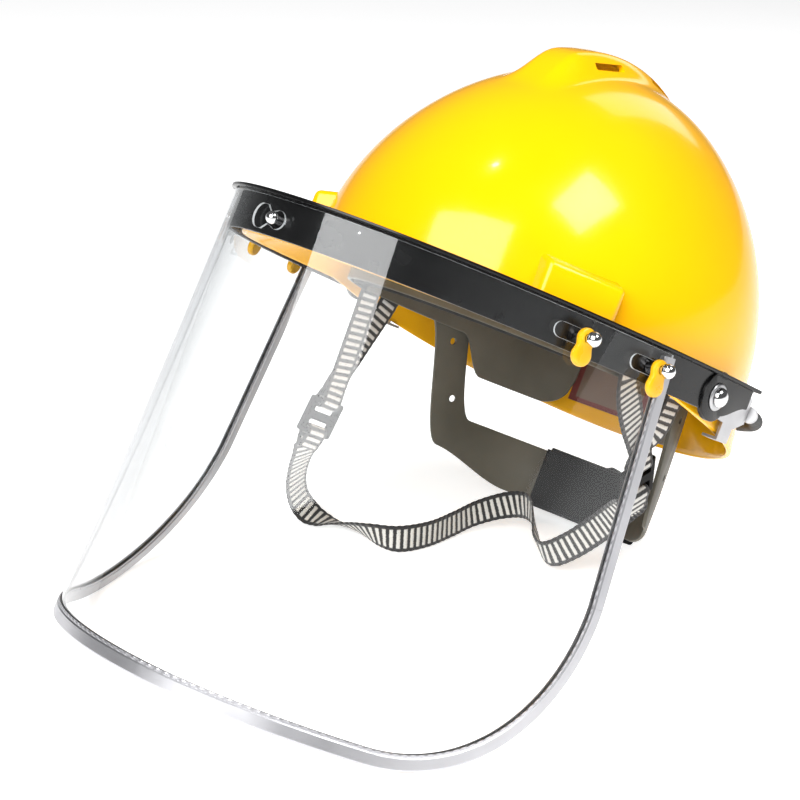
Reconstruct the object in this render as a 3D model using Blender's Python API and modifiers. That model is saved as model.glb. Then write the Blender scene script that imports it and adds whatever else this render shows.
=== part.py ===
"""Safety helmet with a flip-up face shield, lying tilted back on its shield and its ratchet knob.

Everything is drawn in the hat's own frame: X to the wearer's left, -Y to the front, Z up, with the
shield's pivot axis through Y = 0 and Z = 0 at the top of the bracket band. One empty then tilts and
lifts the whole hat to its resting place. The chin strap is drawn where it lies, in world space.
"""

import math

import bmesh
import bpy
import numpy as np
from mathutils import Matrix, Vector

# ---------------------------------------------------------------- driving dimensions (metres)
MM = 0.001
GAP = 0.0003                      # air between pieces that touch

TILT = math.radians(26.306)       # hat tipped back until shield and knob both touch the ground
HAT_AT = Vector((0.0, 0.07078, 0.13309))

BAND_HALF = 0.1124                # bracket band: half width at its widest
BAND_REACH = 0.2200               # from its widest line to its front
BAND_Y = 0.0370                   # the widest line, behind the pivots
BAND_POWER = 2.07                 # of the superellipse
BAND_HEIGHT = 0.0185
BAND_WALL = 0.0022
BAND_LIP = 0.0042                 # how far the top lip stands out
BAND_LIP_THICK = 0.0016
BAND_END_Y = 0.0270               # rear end of the band
LOBE_RADIUS = 0.0115              # round ear about each pivot
EAR_PROUD = 0.0003                # how far the ear stands out from the band

PIVOT_Z = -0.0107
PIVOT_X = 0.1111                  # band's outer face at the pivots
RIVET_RADIUS = 0.0046
SHANK_RADIUS = 0.0022
PLATE_IN = 0.0034                 # anchor plate's outer face, in from the band's outer face
PLATE_THICK = 0.0012

SHEET_WIDTH = 0.4000              # shield, cut flat: 400 x 200 mm
SHEET_TAPER = 0.0085              # how much narrower each side is at the top edge
SHEET_HEIGHT = 0.1987
SHEET_TOP = -0.0027
SHEET_THICK = 0.0010
SHEET_OFF = 0.0014                # air between band and sheet, filled by the studs' shoulders
SHEET_CORNER = 0.0860
FOOT_HALF = 0.1324                # superellipse of the shield's bottom edge
FOOT_REACH = 0.2197
FOOT_Y = 0.0354
TRIM_COVER = 0.0058               # how far the trim reaches in from the sheet's edge
TRIM_OUT = 0.0013
TRIM_HALF = 0.0016                # half the trim's thickness

STUD_ARCS = (0.0, 0.1396, 0.1825)   # arc distance of the studs from the middle
STUD_Z = -0.0115
STUD_BALL = 0.0033
STUD_BALL_MIDDLE = 0.0027
STUD_SHOULDER = 0.0029             # spacer that holds a lock tab clear of the trim
STUD_NECK = 0.0019
TAB_THICK = 0.0032
TAB_DROP = 0.0074                 # between a lock tab's two round ends
TAB_TOP_RADIUS = 0.0044
TAB_FOOT_RADIUS = 0.0047
SLOT_RADIUS = 0.0034
SLOT_LENGTH = 0.0105

DOME_HALF = 0.1005                # shell: the dome's foot
DOME_FRONT = 0.1331
DOME_REAR = 0.1026
DOME_Y = 0.0115
DOME_HEIGHT = 0.1216
DOME_PLAN_POWER = 2.04
DOME_RISE_POWER = 1.84
SHELL_THICK = 0.0024
BRIM_HALF = 0.1056
BRIM_FRONT = 0.1875
BRIM_REAR = 0.1070
RIDGE_HALF = 0.0055               # rounded top of the crown ridge
RIDGE_SLOPE = 0.0135              # width of each sloping side
VENT_Y = (-0.0295, 0.018, 0.060)
VENT_LENGTH = 0.022
VENT_HEIGHT = 0.0030

BOSS_Y = -0.0780                  # accessory slot boss on each side
BOSS_LENGTH = 0.0400
BOSS_HEIGHT = 0.0200

BAND_IN_HALF = 0.0760             # headband: inner half width, half length, middle
BAND_IN_LONG = 0.0975
BAND_IN_Y = -0.0020
HEADBAND_LOW = -0.0180
HEADBAND_HIGH = 0.0140
HEADBAND_LOBE = 0.0190             # extra depth of the headband's two rear ends
STRIP = 0.0018                    # wall of the headband and the nape straps
NAPE_HALF_HEIGHT = 0.0140
NAPE_Z = -0.0740                  # middle of the nape straps at the back

KNOB_RADIUS = 0.0160
KNOB_Z = -0.0720

WEB_WIDTH = 0.0145                # chin strap webbing
WEB_THICK = 0.0011

BLACK = (0.010, 0.010, 0.011)
YELLOW = (0.90, 0.62, 0.005)
GREY = (0.33, 0.33, 0.29)
STEEL = (0.62, 0.62, 0.63)

# ---------------------------------------------------------------- scene, materials, small helpers
for old in list(bpy.data.objects):
    bpy.data.objects.remove(old, do_unlink=True)

PARTS = bpy.data.collections.new("hard_hat")
CUTTERS = bpy.data.collections.new("cutters")
bpy.context.scene.collection.children.link(PARTS)
bpy.context.scene.collection.children.link(CUTTERS)


def empty(name, parent=None, location=(0, 0, 0), rotation=(0, 0, 0)):
    obj = bpy.data.objects.new(name, None)
    PARTS.objects.link(obj)
    obj.parent = parent
    obj.location = location
    obj.rotation_euler = rotation
    return obj


HAT = empty("hat", None, HAT_AT, (-TILT, 0, 0))
PIVOT = Vector((0, 0, PIVOT_Z))
HINGE = empty("visor_hinge", HAT, PIVOT)


def material(name, colour, roughness, metallic=0.0, alpha=1.0):
    mat = bpy.data.materials.new(name)
    mat.use_nodes = True
    shader = mat.node_tree.nodes["Principled BSDF"]
    shader.inputs["Base Color"].default_value = (*colour, 1.0)
    shader.inputs["Roughness"].default_value = roughness
    shader.inputs["Metallic"].default_value = metallic
    shader.inputs["Alpha"].default_value = alpha
    mat.diffuse_color = (*colour, alpha)
    return mat


def add(name, mesh, parent=HAT, colour=GREY, roughness=0.5, metallic=0.0, alpha=1.0, origin=None):
    """A sub-part: its mesh is drawn in the hat's frame, and its origin is moved to where it turns."""
    obj = bpy.data.objects.new(name, mesh)
    PARTS.objects.link(obj)
    obj.parent = parent
    base = PIVOT if parent is HINGE else Vector((0, 0, 0))     # a piece on no empty is in world space
    origin = Vector(base) if origin is None else Vector(origin)
    mesh.transform(Matrix.Translation(-origin))
    obj.location = origin - base
    mesh.materials.append(material(name, colour, roughness, metallic, alpha))
    return obj


def cutter(name, mesh, parent=HAT):
    obj = bpy.data.objects.new(name, mesh)
    CUTTERS.objects.link(obj)
    obj.parent = parent
    if parent is HINGE:
        obj.location = -PIVOT
    obj.hide_render = True
    obj.display_type = "WIRE"
    return obj


def combine(obj, other, operation="DIFFERENCE"):
    mod = obj.modifiers.new(other.name, "BOOLEAN")
    mod.operation = operation
    mod.object = other
    return mod


def solidify(obj, thickness, offset):
    mod = obj.modifiers.new("wall", "SOLIDIFY")
    mod.thickness = thickness
    mod.offset = offset
    mod.use_even_offset = True
    return mod


def from_faces(name, verts, faces, smooth=True):
    mesh = bpy.data.meshes.new(name)
    mesh.from_pydata([tuple(v) for v in verts], [], faces)
    mesh.validate()
    bm = bmesh.new()
    bm.from_mesh(mesh)
    bmesh.ops.recalc_face_normals(bm, faces=bm.faces)
    bm.to_mesh(mesh)
    bm.free()
    if smooth:
        mesh.shade_smooth()
        mesh.set_sharp_from_angle(angle=math.radians(35))
    return mesh


def loft(name, sections):
    """A closed body through closed loops of equal length, capped at both ends."""
    count = len(sections[0])
    verts = [p for loop in sections for p in loop]
    faces = [list(range(count))]
    for i in range(len(sections) - 1):
        for j in range(count):
            k = (j + 1) % count
            faces.append([i * count + j, i * count + k, (i + 1) * count + k, (i + 1) * count + j])
    faces.append([len(verts) - count + j for j in range(count)])
    return from_faces(name, verts, faces)


def add_turned(name, profile, axis, centre, parent, colour, roughness, metallic, steps=24):
    """A turned sub-part: an (r, h) profile, listed down its outer side, spun about axis at centre."""
    closed = profile[0] == profile[-1]
    points = profile[:-1] if closed else profile
    edges = [(i, i + 1) for i in range(len(points) - 1)]
    if closed:
        edges.append((len(points) - 1, 0))
    centre = Vector(centre)
    mesh = bpy.data.meshes.new(name)
    mesh.from_pydata([centre + Vector((r, 0, h)) for r, h in points], edges, [])
    obj = add(name, mesh, parent, colour, roughness, metallic, origin=centre)
    obj.rotation_mode = "QUATERNION"
    obj.rotation_quaternion = Vector((0, 0, 1)).rotation_difference(Vector(axis))
    mod = obj.modifiers.new("turn", "SCREW")
    mod.steps = steps
    mod.render_steps = steps
    mod.use_merge_vertices = True
    mod.merge_threshold = 0.00001
    return obj


def block(name, size, centre, rotation=None):
    bm = bmesh.new()
    bmesh.ops.create_cube(bm, size=1.0)
    bmesh.ops.scale(bm, vec=size, verts=bm.verts)
    mesh = bpy.data.meshes.new(name)
    bm.to_mesh(mesh)
    bm.free()
    turn = rotation.to_4x4() if rotation is not None else Matrix.Identity(4)
    mesh.transform(Matrix.Translation(Vector(centre)) @ turn)
    return mesh


def rod(name, radius, start, end, steps=20):
    start = Vector(start)
    end = Vector(end)
    length = (end - start).length
    bm = bmesh.new()
    bmesh.ops.create_cone(bm, cap_ends=True, segments=steps, radius1=radius, radius2=radius, depth=length)
    mesh = bpy.data.meshes.new(name)
    bm.to_mesh(mesh)
    bm.free()
    turn = Vector((0, 0, 1)).rotation_difference((end - start).normalized()).to_matrix().to_4x4()
    mesh.transform(Matrix.Translation((start + end) / 2) @ turn)
    return mesh


def ramp(value, low, high):
    t = min(1.0, max(0.0, (value - low) / (high - low)))
    return t * t * (3 - 2 * t)


def smooth_route(points, per_span):
    """Catmull-Rom through the points, per_span samples between each pair."""
    pts = [np.array(p, float) for p in points]
    pts = [2 * pts[0] - pts[1]] + pts + [2 * pts[-1] - pts[-2]]
    out = []
    for i in range(1, len(pts) - 2):
        a, b, c, d = pts[i - 1:i + 3]
        for k in range(per_span):
            t = k / per_span
            out.append(0.5 * (2 * b + (c - a) * t + (2 * a - 5 * b + 4 * c - d) * t ** 2
                              + (3 * b - a - 3 * c + d) * t ** 3))
    out.append(pts[-2])
    return out


# ---------------------------------------------------------------- plan curves of band and shield
def plan_table(half, reach, power):
    """Arc length, X and Y along half a superellipse, from its front point to its widest, then back."""
    angle = np.linspace(0, math.pi / 2, 600)
    x = half * np.sin(angle) ** (2 / power)
    y = -reach * np.cos(angle) ** (2 / power)
    x = np.append(x, half)
    y = np.append(y, 0.1)
    arc = np.concatenate(([0], np.cumsum(np.hypot(np.diff(x), np.diff(y)))))
    return arc, x, y


BAND_TABLE = plan_table(BAND_HALF, BAND_REACH, BAND_POWER)
FOOT_TABLE = plan_table(FOOT_HALF, FOOT_REACH, BAND_POWER)


def on_plan(table, arc, centre_y):
    s, x, y = table
    side = math.copysign(1.0, arc)
    return np.array((side * np.interp(abs(arc), s, x), centre_y + np.interp(abs(arc), s, y)))


def band_frame(arc):
    """Point on the band's outer face in plan, and the outward direction there."""
    step = 0.0005
    here = on_plan(BAND_TABLE, arc, BAND_Y)
    along = on_plan(BAND_TABLE, arc + step, BAND_Y) - on_plan(BAND_TABLE, arc - step, BAND_Y)
    along /= np.linalg.norm(along)
    return here, np.array((along[1], -along[0]))


def band_arc_at(y):
    """Arc distance at which the band reaches a given Y."""
    s, _, ys = BAND_TABLE
    return float(np.interp(y - BAND_Y, ys, s))


def sheet_point(arc, drop, out=0.0):
    """On the shield: arc distance from the middle, drop below its top edge, and offset outwards."""
    def at(a, d):
        k = d / SHEET_HEIGHT
        top = on_plan(BAND_TABLE, a, BAND_Y)
        foot = on_plan(FOOT_TABLE, a, FOOT_Y)
        x, y = top * (1 - k) + foot * k
        return np.array((x, y, SHEET_TOP - d))
    step = 0.0008
    across = at(arc + step, drop) - at(arc - step, drop)
    down = at(arc, drop + step) - at(arc, drop - step)
    normal = np.cross(down, across)
    normal /= np.linalg.norm(normal)
    return at(arc, drop) + normal * (SHEET_OFF + SHEET_THICK / 2 + out)


def sheet_normal(arc, drop):
    """Outward direction of the sheet."""
    return Vector(sheet_point(arc, drop, 0.001) - sheet_point(arc, drop)).normalized()


# ---------------------------------------------------------------- face shield group
def bracket_band():
    """L-section strip from ear to ear, with a round lobe at each pivot."""
    end = band_arc_at(BAND_END_Y)
    lip = BAND_LIP_THICK
    sections = []
    for arc in np.linspace(-end, end, 72):
        here, out = band_frame(arc)
        rear = ramp(here[1], 0.006, BAND_END_Y)
        low = -BAND_HEIGHT + 0.008 * rear
        loop = ((-BAND_WALL, low), (0, low), (0, -lip), (BAND_LIP, -lip), (BAND_LIP, 0), (-BAND_WALL, 0))
        sections.append([(*(here + out * w), z) for w, z in loop])
    obj = add("bracket_band", loft("bracket_band", sections), HINGE, BLACK, 0.3)
    for side, word in ((1, "left"), (-1, "right")):
        inner = side * (PIVOT_X - BAND_WALL - 0.0002)
        outer = side * (PIVOT_X + EAR_PROUD)
        lobe = cutter("ear_lobe_" + word, rod("ear_lobe", LOBE_RADIUS, (inner, 0, PIVOT_Z),
                                              (outer, 0, PIVOT_Z), 28), HINGE)
        combine(obj, lobe, "UNION")
        hole = cutter("ear_hole_" + word, rod("ear_hole", SHANK_RADIUS + GAP, (side * 0.100, 0, PIVOT_Z),
                                              (side * 0.120, 0, PIVOT_Z)), HINGE)
        combine(obj, hole)
    for number, (arc, place, out) in enumerate(stud_places()):
        hole = cutter(f"stud_hole_{number}", rod("stud_hole", STUD_NECK + GAP, place - out * 0.006,
                                                 place + out * 0.006, 14), HINGE)
        combine(obj, hole)
    return obj


def stud_places():
    """Arc, point on the band's outer face and outward direction of the five studs."""
    places = []
    for arc in (0.0, STUD_ARCS[1], -STUD_ARCS[1], STUD_ARCS[2], -STUD_ARCS[2]):
        here, _ = band_frame(arc)
        places.append((arc, Vector((*here, STUD_Z)), sheet_normal(arc, SHEET_TOP - STUD_Z)))
    return places


def rounded_slot(name, arc, lead, radius, depth=0.006):
    """Cutter for a slot in the shield that runs forward from a stud, lead long, with round ends."""
    side = 1 if arc >= 0 else -1
    outline = []
    for i in range(9):
        angle = -math.pi / 2 + math.pi * i / 8
        outline.append((radius * math.cos(angle), radius * math.sin(angle)))
    for i in range(9):
        angle = math.pi / 2 + math.pi * i / 8
        outline.append((-lead + radius * math.cos(angle), radius * math.sin(angle)))
    drop = SHEET_TOP - STUD_Z
    rings = []
    for out in (-depth / 3, depth / 3):
        rings.append([sheet_point(arc + side * u, drop - v, out) for u, v in outline])
    return cutter(name, loft(name, rings), HINGE)


def sheet_outline(count_side=10, count_corner=12, count_foot=26):
    """(arc, drop) along the shield's left side, rounded corner, bottom, corner and right side."""
    half = SHEET_WIDTH / 2
    low = SHEET_HEIGHT
    r = SHEET_CORNER
    path = [(half_width_at(d), d) for d in np.linspace(0, low - r, count_side, endpoint=False)]
    for a in np.linspace(0, math.pi / 2, count_corner, endpoint=False):
        path.append((half - r + r * math.cos(a), low - r + r * math.sin(a)))
    path += [(s, low) for s in np.linspace(half - r, -(half - r), count_foot)]
    for a in np.linspace(math.pi / 2, math.pi, count_corner + 1)[1:]:
        path.append((-(half - r) + r * math.cos(a), low - r + r * math.sin(a)))
    path += [(-half_width_at(d), d) for d in np.linspace(low - r, 0, count_side + 1)[1:]]
    return path


def half_width_at(drop):
    """Half the sheet's arc width at a drop below its top edge."""
    r = SHEET_CORNER
    below = drop - (SHEET_HEIGHT - r)
    if below <= 0:
        return SHEET_WIDTH / 2 + SHEET_TAPER * below / (SHEET_HEIGHT - r)
    return SHEET_WIDTH / 2 - r + math.sqrt(max(0.0, r * r - below * below))


def visor_sheet():
    """Clear sheet bent round the band: a grid of rows, each as wide as the cut outline."""
    r = SHEET_CORNER
    straight = SHEET_HEIGHT - r
    rows = list(np.linspace(0, straight, 4))
    rows += [straight + r * math.sin(a) for a in np.linspace(0, math.pi / 2, 10)[1:]]
    columns = 40
    rings = []
    for drop in rows:
        half = half_width_at(drop)
        line = [sheet_point(half * u, drop, -SHEET_THICK / 2) for u in np.linspace(-1, 1, columns + 1)]
        rings.append(line)
    verts = [p for line in rings for p in line]
    wide = columns + 1
    faces = []
    for i in range(len(rows) - 1):
        for j in range(columns):
            faces.append([i * wide + j, i * wide + j + 1, (i + 1) * wide + j + 1, (i + 1) * wide + j])
    mesh = from_faces("visor_sheet", verts, faces)
    obj = add("visor_sheet", mesh, HINGE, (0.80, 0.84, 0.85), 0.05, 0.0, 0.25)
    outward = mesh.polygons[columns // 2].normal.y < 0
    solidify(obj, SHEET_THICK, 1.0 if outward else -1.0)
    for number, (arc, _, _) in enumerate(stud_places()):
        if arc == 0:
            combine(obj, rounded_slot("key_hole", 0.004, 0.010, SLOT_RADIUS + 0.0006))
        else:
            combine(obj, rounded_slot(f"sheet_slot_{number}", arc, SLOT_LENGTH, SLOT_RADIUS))
    return obj


def edge_trim():
    """Metal U-channel pressed over the sheet's sides and bottom."""
    path = sheet_outline()
    path[0] = (path[0][0], 0.0014)
    path[-1] = (path[-1][0], 0.0014)
    sections = []
    slit = SHEET_THICK / 2 + GAP
    bite = TRIM_COVER
    wall = TRIM_HALF
    loop = ((-bite, -wall), (TRIM_OUT, -wall), (TRIM_OUT, wall), (-bite, wall),
            (-bite, slit), (GAP, slit), (GAP, -slit), (-bite, -slit))
    for i, (arc, drop) in enumerate(path):
        before = np.array(path[max(i - 1, 0)])
        after = np.array(path[min(i + 1, len(path) - 1)])
        along = (after - before) / np.linalg.norm(after - before)
        outward = np.array((along[1], -along[0]))
        if outward[0] * arc < 0 or (abs(arc) < 0.1 and outward[1] < 0):
            outward = -outward
        ring = []
        for u, w in loop:
            ring.append(sheet_point(arc + outward[0] * u, drop + outward[1] * u, w))
        sections.append(ring)
    return add("edge_trim", loft("edge_trim", sections), HINGE, STEEL, 0.3, 1.0)


def studs_and_tabs():
    """Ball-headed studs through the band and sheet, and the lock tab that turns on each side stud."""
    words = ("middle", "left_front", "right_front", "left_rear", "right_rear")
    for (arc, place, out), word in zip(stud_places(), words):
        lift = (Vector(sheet_point(arc, SHEET_TOP - STUD_Z)) - place).dot(out)    # to the sheet's middle
        tab_in = lift + TRIM_HALF + GAP
        tab_out = tab_in + TAB_THICK
        ball = STUD_BALL if arc else STUD_BALL_MIDDLE
        head = (tab_out if arc else lift + SHEET_THICK / 2) + GAP + ball * 0.93
        profile = [(0.0, head + ball)]
        steps = 7
        low = math.asin(STUD_NECK / ball)
        for i in range(1, steps + 1):
            angle = (math.pi - low) * i / steps
            profile.append((ball * math.sin(angle), head + ball * math.cos(angle)))
        if arc:
            profile += [(STUD_NECK, tab_in - GAP), (STUD_SHOULDER, tab_in - GAP), (STUD_SHOULDER, GAP),
                        (STUD_NECK, GAP)]
        inside = -BAND_WALL - 2 * GAP
        profile += [(STUD_NECK, inside), (0.0042, inside), (0.0042, inside - 0.0009), (0.0, inside - 0.0009)]
        add_turned("stud_" + word, profile, out, place, HINGE, STEEL, 0.12, 1.0, 14)
        if arc:
            lock_tab("lock_tab_" + word, place, out, tab_in, tab_out)


def lock_tab(name, place, out, low, high):
    """Two round ends and a waist, with a hole for the stud's neck."""
    side = Vector((-out.y, out.x, 0)).normalized()
    up = out.cross(side)
    outline = []
    for i in range(13):
        angle = math.radians(-20 + 220 * i / 12)
        outline.append((TAB_TOP_RADIUS * math.cos(angle), TAB_TOP_RADIUS * math.sin(angle)))
    for i in range(13):
        angle = math.radians(160 + 220 * i / 12)
        outline.append((TAB_FOOT_RADIUS * math.cos(angle), -TAB_DROP + TAB_FOOT_RADIUS * math.sin(angle)))
    bevel = 0.0006
    rings = []
    for h, shrink in ((low, 0.9), (low + bevel, 1.0), (high - bevel, 1.0), (high, 0.9)):
        ring = []
        for u, v in outline:
            v = -TAB_DROP / 2 + (v + TAB_DROP / 2) * (0.95 if shrink < 1 else 1.0)
            ring.append(place + out * h + side * (u * shrink) + up * v)
        rings.append(ring)
    obj = add(name, loft(name, rings), HINGE, (0.95, 0.80, 0.01), 0.35, origin=place)
    hole = cutter(name + "_hole", rod("tab_hole", STUD_NECK + GAP, place - out * 0.004,
                                      place + out * 0.012, 14), HINGE)
    combine(obj, hole)
    return obj


# ---------------------------------------------------------------- shell
def dome_point(angle, climb):
    """On the bare dome: plan angle, and climb from its foot (0) to its crown (pi / 2)."""
    c = math.cos(angle)
    s = math.sin(angle)
    reach = DOME_FRONT if s < 0 else DOME_REAR
    spread = math.cos(climb) ** (2 / DOME_RISE_POWER)
    x = DOME_HALF * math.copysign(abs(c) ** (2 / DOME_PLAN_POWER), c)
    y = reach * math.copysign(abs(s) ** (2 / DOME_PLAN_POWER), s)
    z = DOME_HEIGHT * math.sin(climb) ** (2 / DOME_RISE_POWER)
    return np.array((x * spread, DOME_Y + y * spread, z))


def dome_normal(point):
    x, y, z = point
    reach = DOME_FRONT if y < DOME_Y else DOME_REAR
    normal = np.array((x / DOME_HALF ** 2, (y - DOME_Y) / reach ** 2, z / DOME_HEIGHT ** 2))
    return normal / np.linalg.norm(normal)


def ridge_height(point):
    """Height of the crown ridge: steep at its front end, long and low towards the back."""
    x, y, _ = point
    across = 1 - ramp(abs(x), RIDGE_HALF, RIDGE_HALF + RIDGE_SLOPE)
    rise = ramp(y, -0.072, -0.044)
    tall = 0.0098 - 0.0060 * ramp(y, -0.055, 0.050)
    fade = 1 - ramp(y, 0.070, 0.112)
    return across * rise * tall * fade


def rim_point(angle):
    """Edge of the brim and of the nape skirt at a plan angle."""
    c = math.cos(angle)
    s = math.sin(angle)
    reach = BRIM_FRONT if s < 0 else BRIM_REAR
    x = BRIM_HALF * c
    y = DOME_Y + reach * s
    z = -0.0165 - 0.0215 * min(1.0, max(0.0, (y + 0.030) / 0.148)) ** 0.9
    return np.array((x, y, z))


def shell():
    """Dome with its ridge, brim and nape skirt as one open surface given a wall."""
    around = 64
    angles = [a + 0.30 * math.sin(2 * a) for a in np.linspace(0, 2 * math.pi, around, endpoint=False)]
    climbs = [math.radians(a) for a in (86, 80, 74, 68, 62, 56, 48, 40, 31, 22, 11, 0)]
    rings = []
    for climb in climbs:
        ring = []
        for angle in angles:
            point = dome_point(angle, climb)
            ring.append(point + dome_normal(point) * ridge_height(point))
        rings.append(ring)
    foot = rings[-1]
    for part in (0.15, 0.55, 1.0):
        ring = []
        for i, angle in enumerate(angles):
            rim = rim_point(angle)
            point = foot[i] * (1 - part) + rim * part
            point[2] = rim[2] * part ** 1.15
            ring.append(point)
        rings.append(ring)
    crown = dome_point(0, math.pi / 2)
    verts = [crown + np.array((0, 0, ridge_height(crown)))]
    verts += [p for ring in rings for p in ring]
    faces = [[0, 1 + i, 1 + (i + 1) % around] for i in range(around)]
    for r in range(len(rings) - 1):
        for i in range(around):
            j = (i + 1) % around
            a = 1 + r * around
            b = a + around
            faces.append([a + i, b + i, b + j, a + j])
    mesh = from_faces("shell", verts, faces)
    obj = add("shell", mesh, HAT, YELLOW, 0.2)
    outward = mesh.polygons[0].normal.z > 0
    solidify(obj, SHELL_THICK, -1.0 if outward else 1.0)
    for side, word in ((1, "left"), (-1, "right")):
        boss, slot = accessory_boss(side, word)
        combine(obj, boss, "UNION")
        combine(obj, slot)
        for number, y in enumerate(VENT_Y):
            z = crown_height(y, 0.0125)
            length = VENT_LENGTH * (0.8 if number == 2 else 1.0)
            vent = cutter(f"vent_{word}_{number}", block("vent", (0.017, length, VENT_HEIGHT),
                                                         (side * 0.0145, y, z), vent_turn(y)))
            combine(obj, vent)
    return obj


def crown_height(y, x=0.0):
    """Height of the crown, ridge included, over a point near its middle line."""
    reach = DOME_FRONT if y < DOME_Y else DOME_REAR
    plan = (abs(x) / DOME_HALF) ** DOME_PLAN_POWER + (abs(y - DOME_Y) / reach) ** DOME_PLAN_POWER
    spread = plan ** (1 / DOME_PLAN_POWER)
    z = DOME_HEIGHT * (1 - spread ** DOME_RISE_POWER) ** (1 / DOME_RISE_POWER)
    point = np.array((x, y, z))
    return z + ridge_height(point) * dome_normal(point)[2]


def vent_turn(y):
    """Turns a vent so that it follows the ridge's top line."""
    step = 0.004
    slope = math.atan2(crown_height(y + step) - crown_height(y - step), 2 * step)
    return Matrix.Rotation(slope, 3, "X")


def boss_frame(side):
    """Middle of the boss on the dome, and the direction it faces in plan."""
    reach = DOME_FRONT
    spread = (BOSS_Y - DOME_Y) / reach
    x = DOME_HALF * (1 - abs(spread) ** DOME_PLAN_POWER) ** (1 / DOME_PLAN_POWER)
    normal = Vector((x / DOME_HALF ** 2, (BOSS_Y - DOME_Y) / reach ** 2, 0)).normalized()
    return Vector((side * x, BOSS_Y, 0)), Vector((side * normal.x, normal.y, 0))


def accessory_boss(side, word):
    """Raised rectangular pocket above the brim, open below for an ear-muff arm."""
    middle, out = boss_frame(side)
    turn = Vector((0, 1, 0)).rotation_difference(out).to_matrix()
    deep = 0.0150
    bm = bmesh.new()
    bmesh.ops.create_cube(bm, size=1.0)
    bmesh.ops.scale(bm, vec=(BOSS_LENGTH, deep, BOSS_HEIGHT), verts=bm.verts)
    for vert in bm.verts:
        if vert.co.y > 0:
            vert.co.x *= 0.92
            if vert.co.z > 0:
                vert.co.z -= 0.0035
    bmesh.ops.bevel(bm, geom=list(bm.edges), offset=0.0018, segments=2, affect="EDGES", profile=0.5)
    mesh = bpy.data.meshes.new("boss")
    bm.to_mesh(mesh)
    bm.free()
    place = middle - out * 0.0005 + Vector((0, 0, BOSS_HEIGHT / 2 - 0.001))
    mesh.transform(Matrix.Translation(place) @ turn.to_4x4())
    boss = cutter("boss_" + word, mesh)
    slot_at = middle + out * 0.0020 + Vector((0, 0, 0.003))
    slot_size = (BOSS_LENGTH - 0.010, 0.0045, 0.026)
    slot = cutter("boss_slot_" + word, block("boss_slot", slot_size, slot_at, turn))
    return boss, slot


# ---------------------------------------------------------------- pivots, anchors and rear spring
def pivots():
    for side, word in ((1, "left"), (-1, "right")):
        out = (side, 0, 0)
        face = side * (PIVOT_X + EAR_PROUD + GAP)
        washer = [(0.0030, 0.0), (0.0030, 0.0008), (0.0060, 0.0008), (0.0064, 0.0004), (0.0064, 0.0),
                  (0.0030, 0.0)]
        add_turned("pivot_washer_" + word, washer, out, (face, 0, PIVOT_Z), HAT, STEEL, 0.3, 1.0, 20)
        base = 0.0008 + GAP
        head = [(RIVET_RADIUS * math.sin(a), base + 0.0034 * math.cos(a))
                for a in np.linspace(0, math.pi / 2, 6)]
        tail = -0.0071
        head += [(SHANK_RADIUS, base), (SHANK_RADIUS, tail + 0.0008), (0.0042, tail + 0.0008),
                 (0.0042, tail), (0.0, tail)]
        add_turned("pivot_rivet_" + word, head, out, (face, 0, PIVOT_Z), HAT, STEEL, 0.12, 1.0, 20)
        anchor_plate(side, word)


def anchor_plate(side, word):
    """Zinc plate between the band and the shell: holds the pivot, hooks under the rim."""
    x_out = PIVOT_X - PLATE_IN
    x_in = x_out - PLATE_THICK
    outline = [(-0.008, -0.0175), (0.030, -0.0205), (0.0375, -0.0165), (0.0375, -0.0045), (0.030, -0.0025),
               (-0.008, -0.0035)]
    rings = [[(side * x, y, z) for y, z in outline] for x in (x_in, x_out)]
    obj = add("anchor_plate_" + word, loft("anchor_plate", rings), HAT, (0.45, 0.45, 0.46), 0.35, 1.0)
    hole = cutter("anchor_hole_" + word, rod("anchor_hole", SHANK_RADIUS + GAP, (side * 0.100, 0, PIVOT_Z),
                                             (side * 0.120, 0, PIVOT_Z)))
    combine(obj, hole)
    leg = cutter("anchor_leg_" + word, block("anchor_leg", (0.0012, 0.010, 0.0110),
                                             (side * (x_in + 0.0006), 0.024, -0.0225)))
    combine(obj, leg, "UNION")
    lip = cutter("anchor_lip_" + word, block("anchor_lip", (0.0080, 0.010, 0.0012),
                                             (side * (x_in - 0.0028), 0.024, -0.0274)))
    combine(obj, lip, "UNION")
    return obj


def rear_spring():
    """Sheathed tension spring round the back of the shell, with a hooked end cap at each plate."""
    start_y = 0.0440
    half = 0.1100
    back = 0.1165
    first = math.asin((start_y - DOME_Y) / back)
    route = []
    for angle in np.linspace(first, math.pi - first, 33):
        x = half * math.cos(angle)
        y = DOME_Y + back * math.sin(angle)
        route.append((x, y, -0.0110 - 0.004 * math.sin(angle) ** 2))
    curve = bpy.data.curves.new("rear_spring", "CURVE")
    curve.dimensions = "3D"
    curve.bevel_depth = 0.0034
    curve.bevel_resolution = 2
    curve.use_fill_caps = True
    line = curve.splines.new("POLY")
    line.points.add(len(route) - 1)
    for point, place in zip(line.points, route):
        point.co = (*place, 1)
    obj = bpy.data.objects.new("rear_spring", curve)
    PARTS.objects.link(obj)
    obj.parent = HAT
    curve.materials.append(material("rear_spring", BLACK, 0.55))
    for side, word in ((1, "left"), (-1, "right")):
        tip = np.array(route[0] if side > 0 else route[-1])
        near = np.array(route[1] if side > 0 else route[-2])
        along = (tip - near) / np.linalg.norm(tip - near)
        start = tip + along * GAP
        cap = rod("cap", 0.0038, start, start + along * 0.0045, 16)
        body = add("spring_hook_" + word, cap, HAT, (0.40, 0.40, 0.41), 0.35, 1.0)
        tongue_x = side * (PIVOT_X - PLATE_IN - PLATE_THICK - GAP - 0.0007)
        tongue = block("tongue", (0.0014, 0.0160, 0.0050), (tongue_x, 0.0345, -0.0110))
        combine(body, cutter("hook_tongue_" + word, tongue), "UNION")
    return obj


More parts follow.
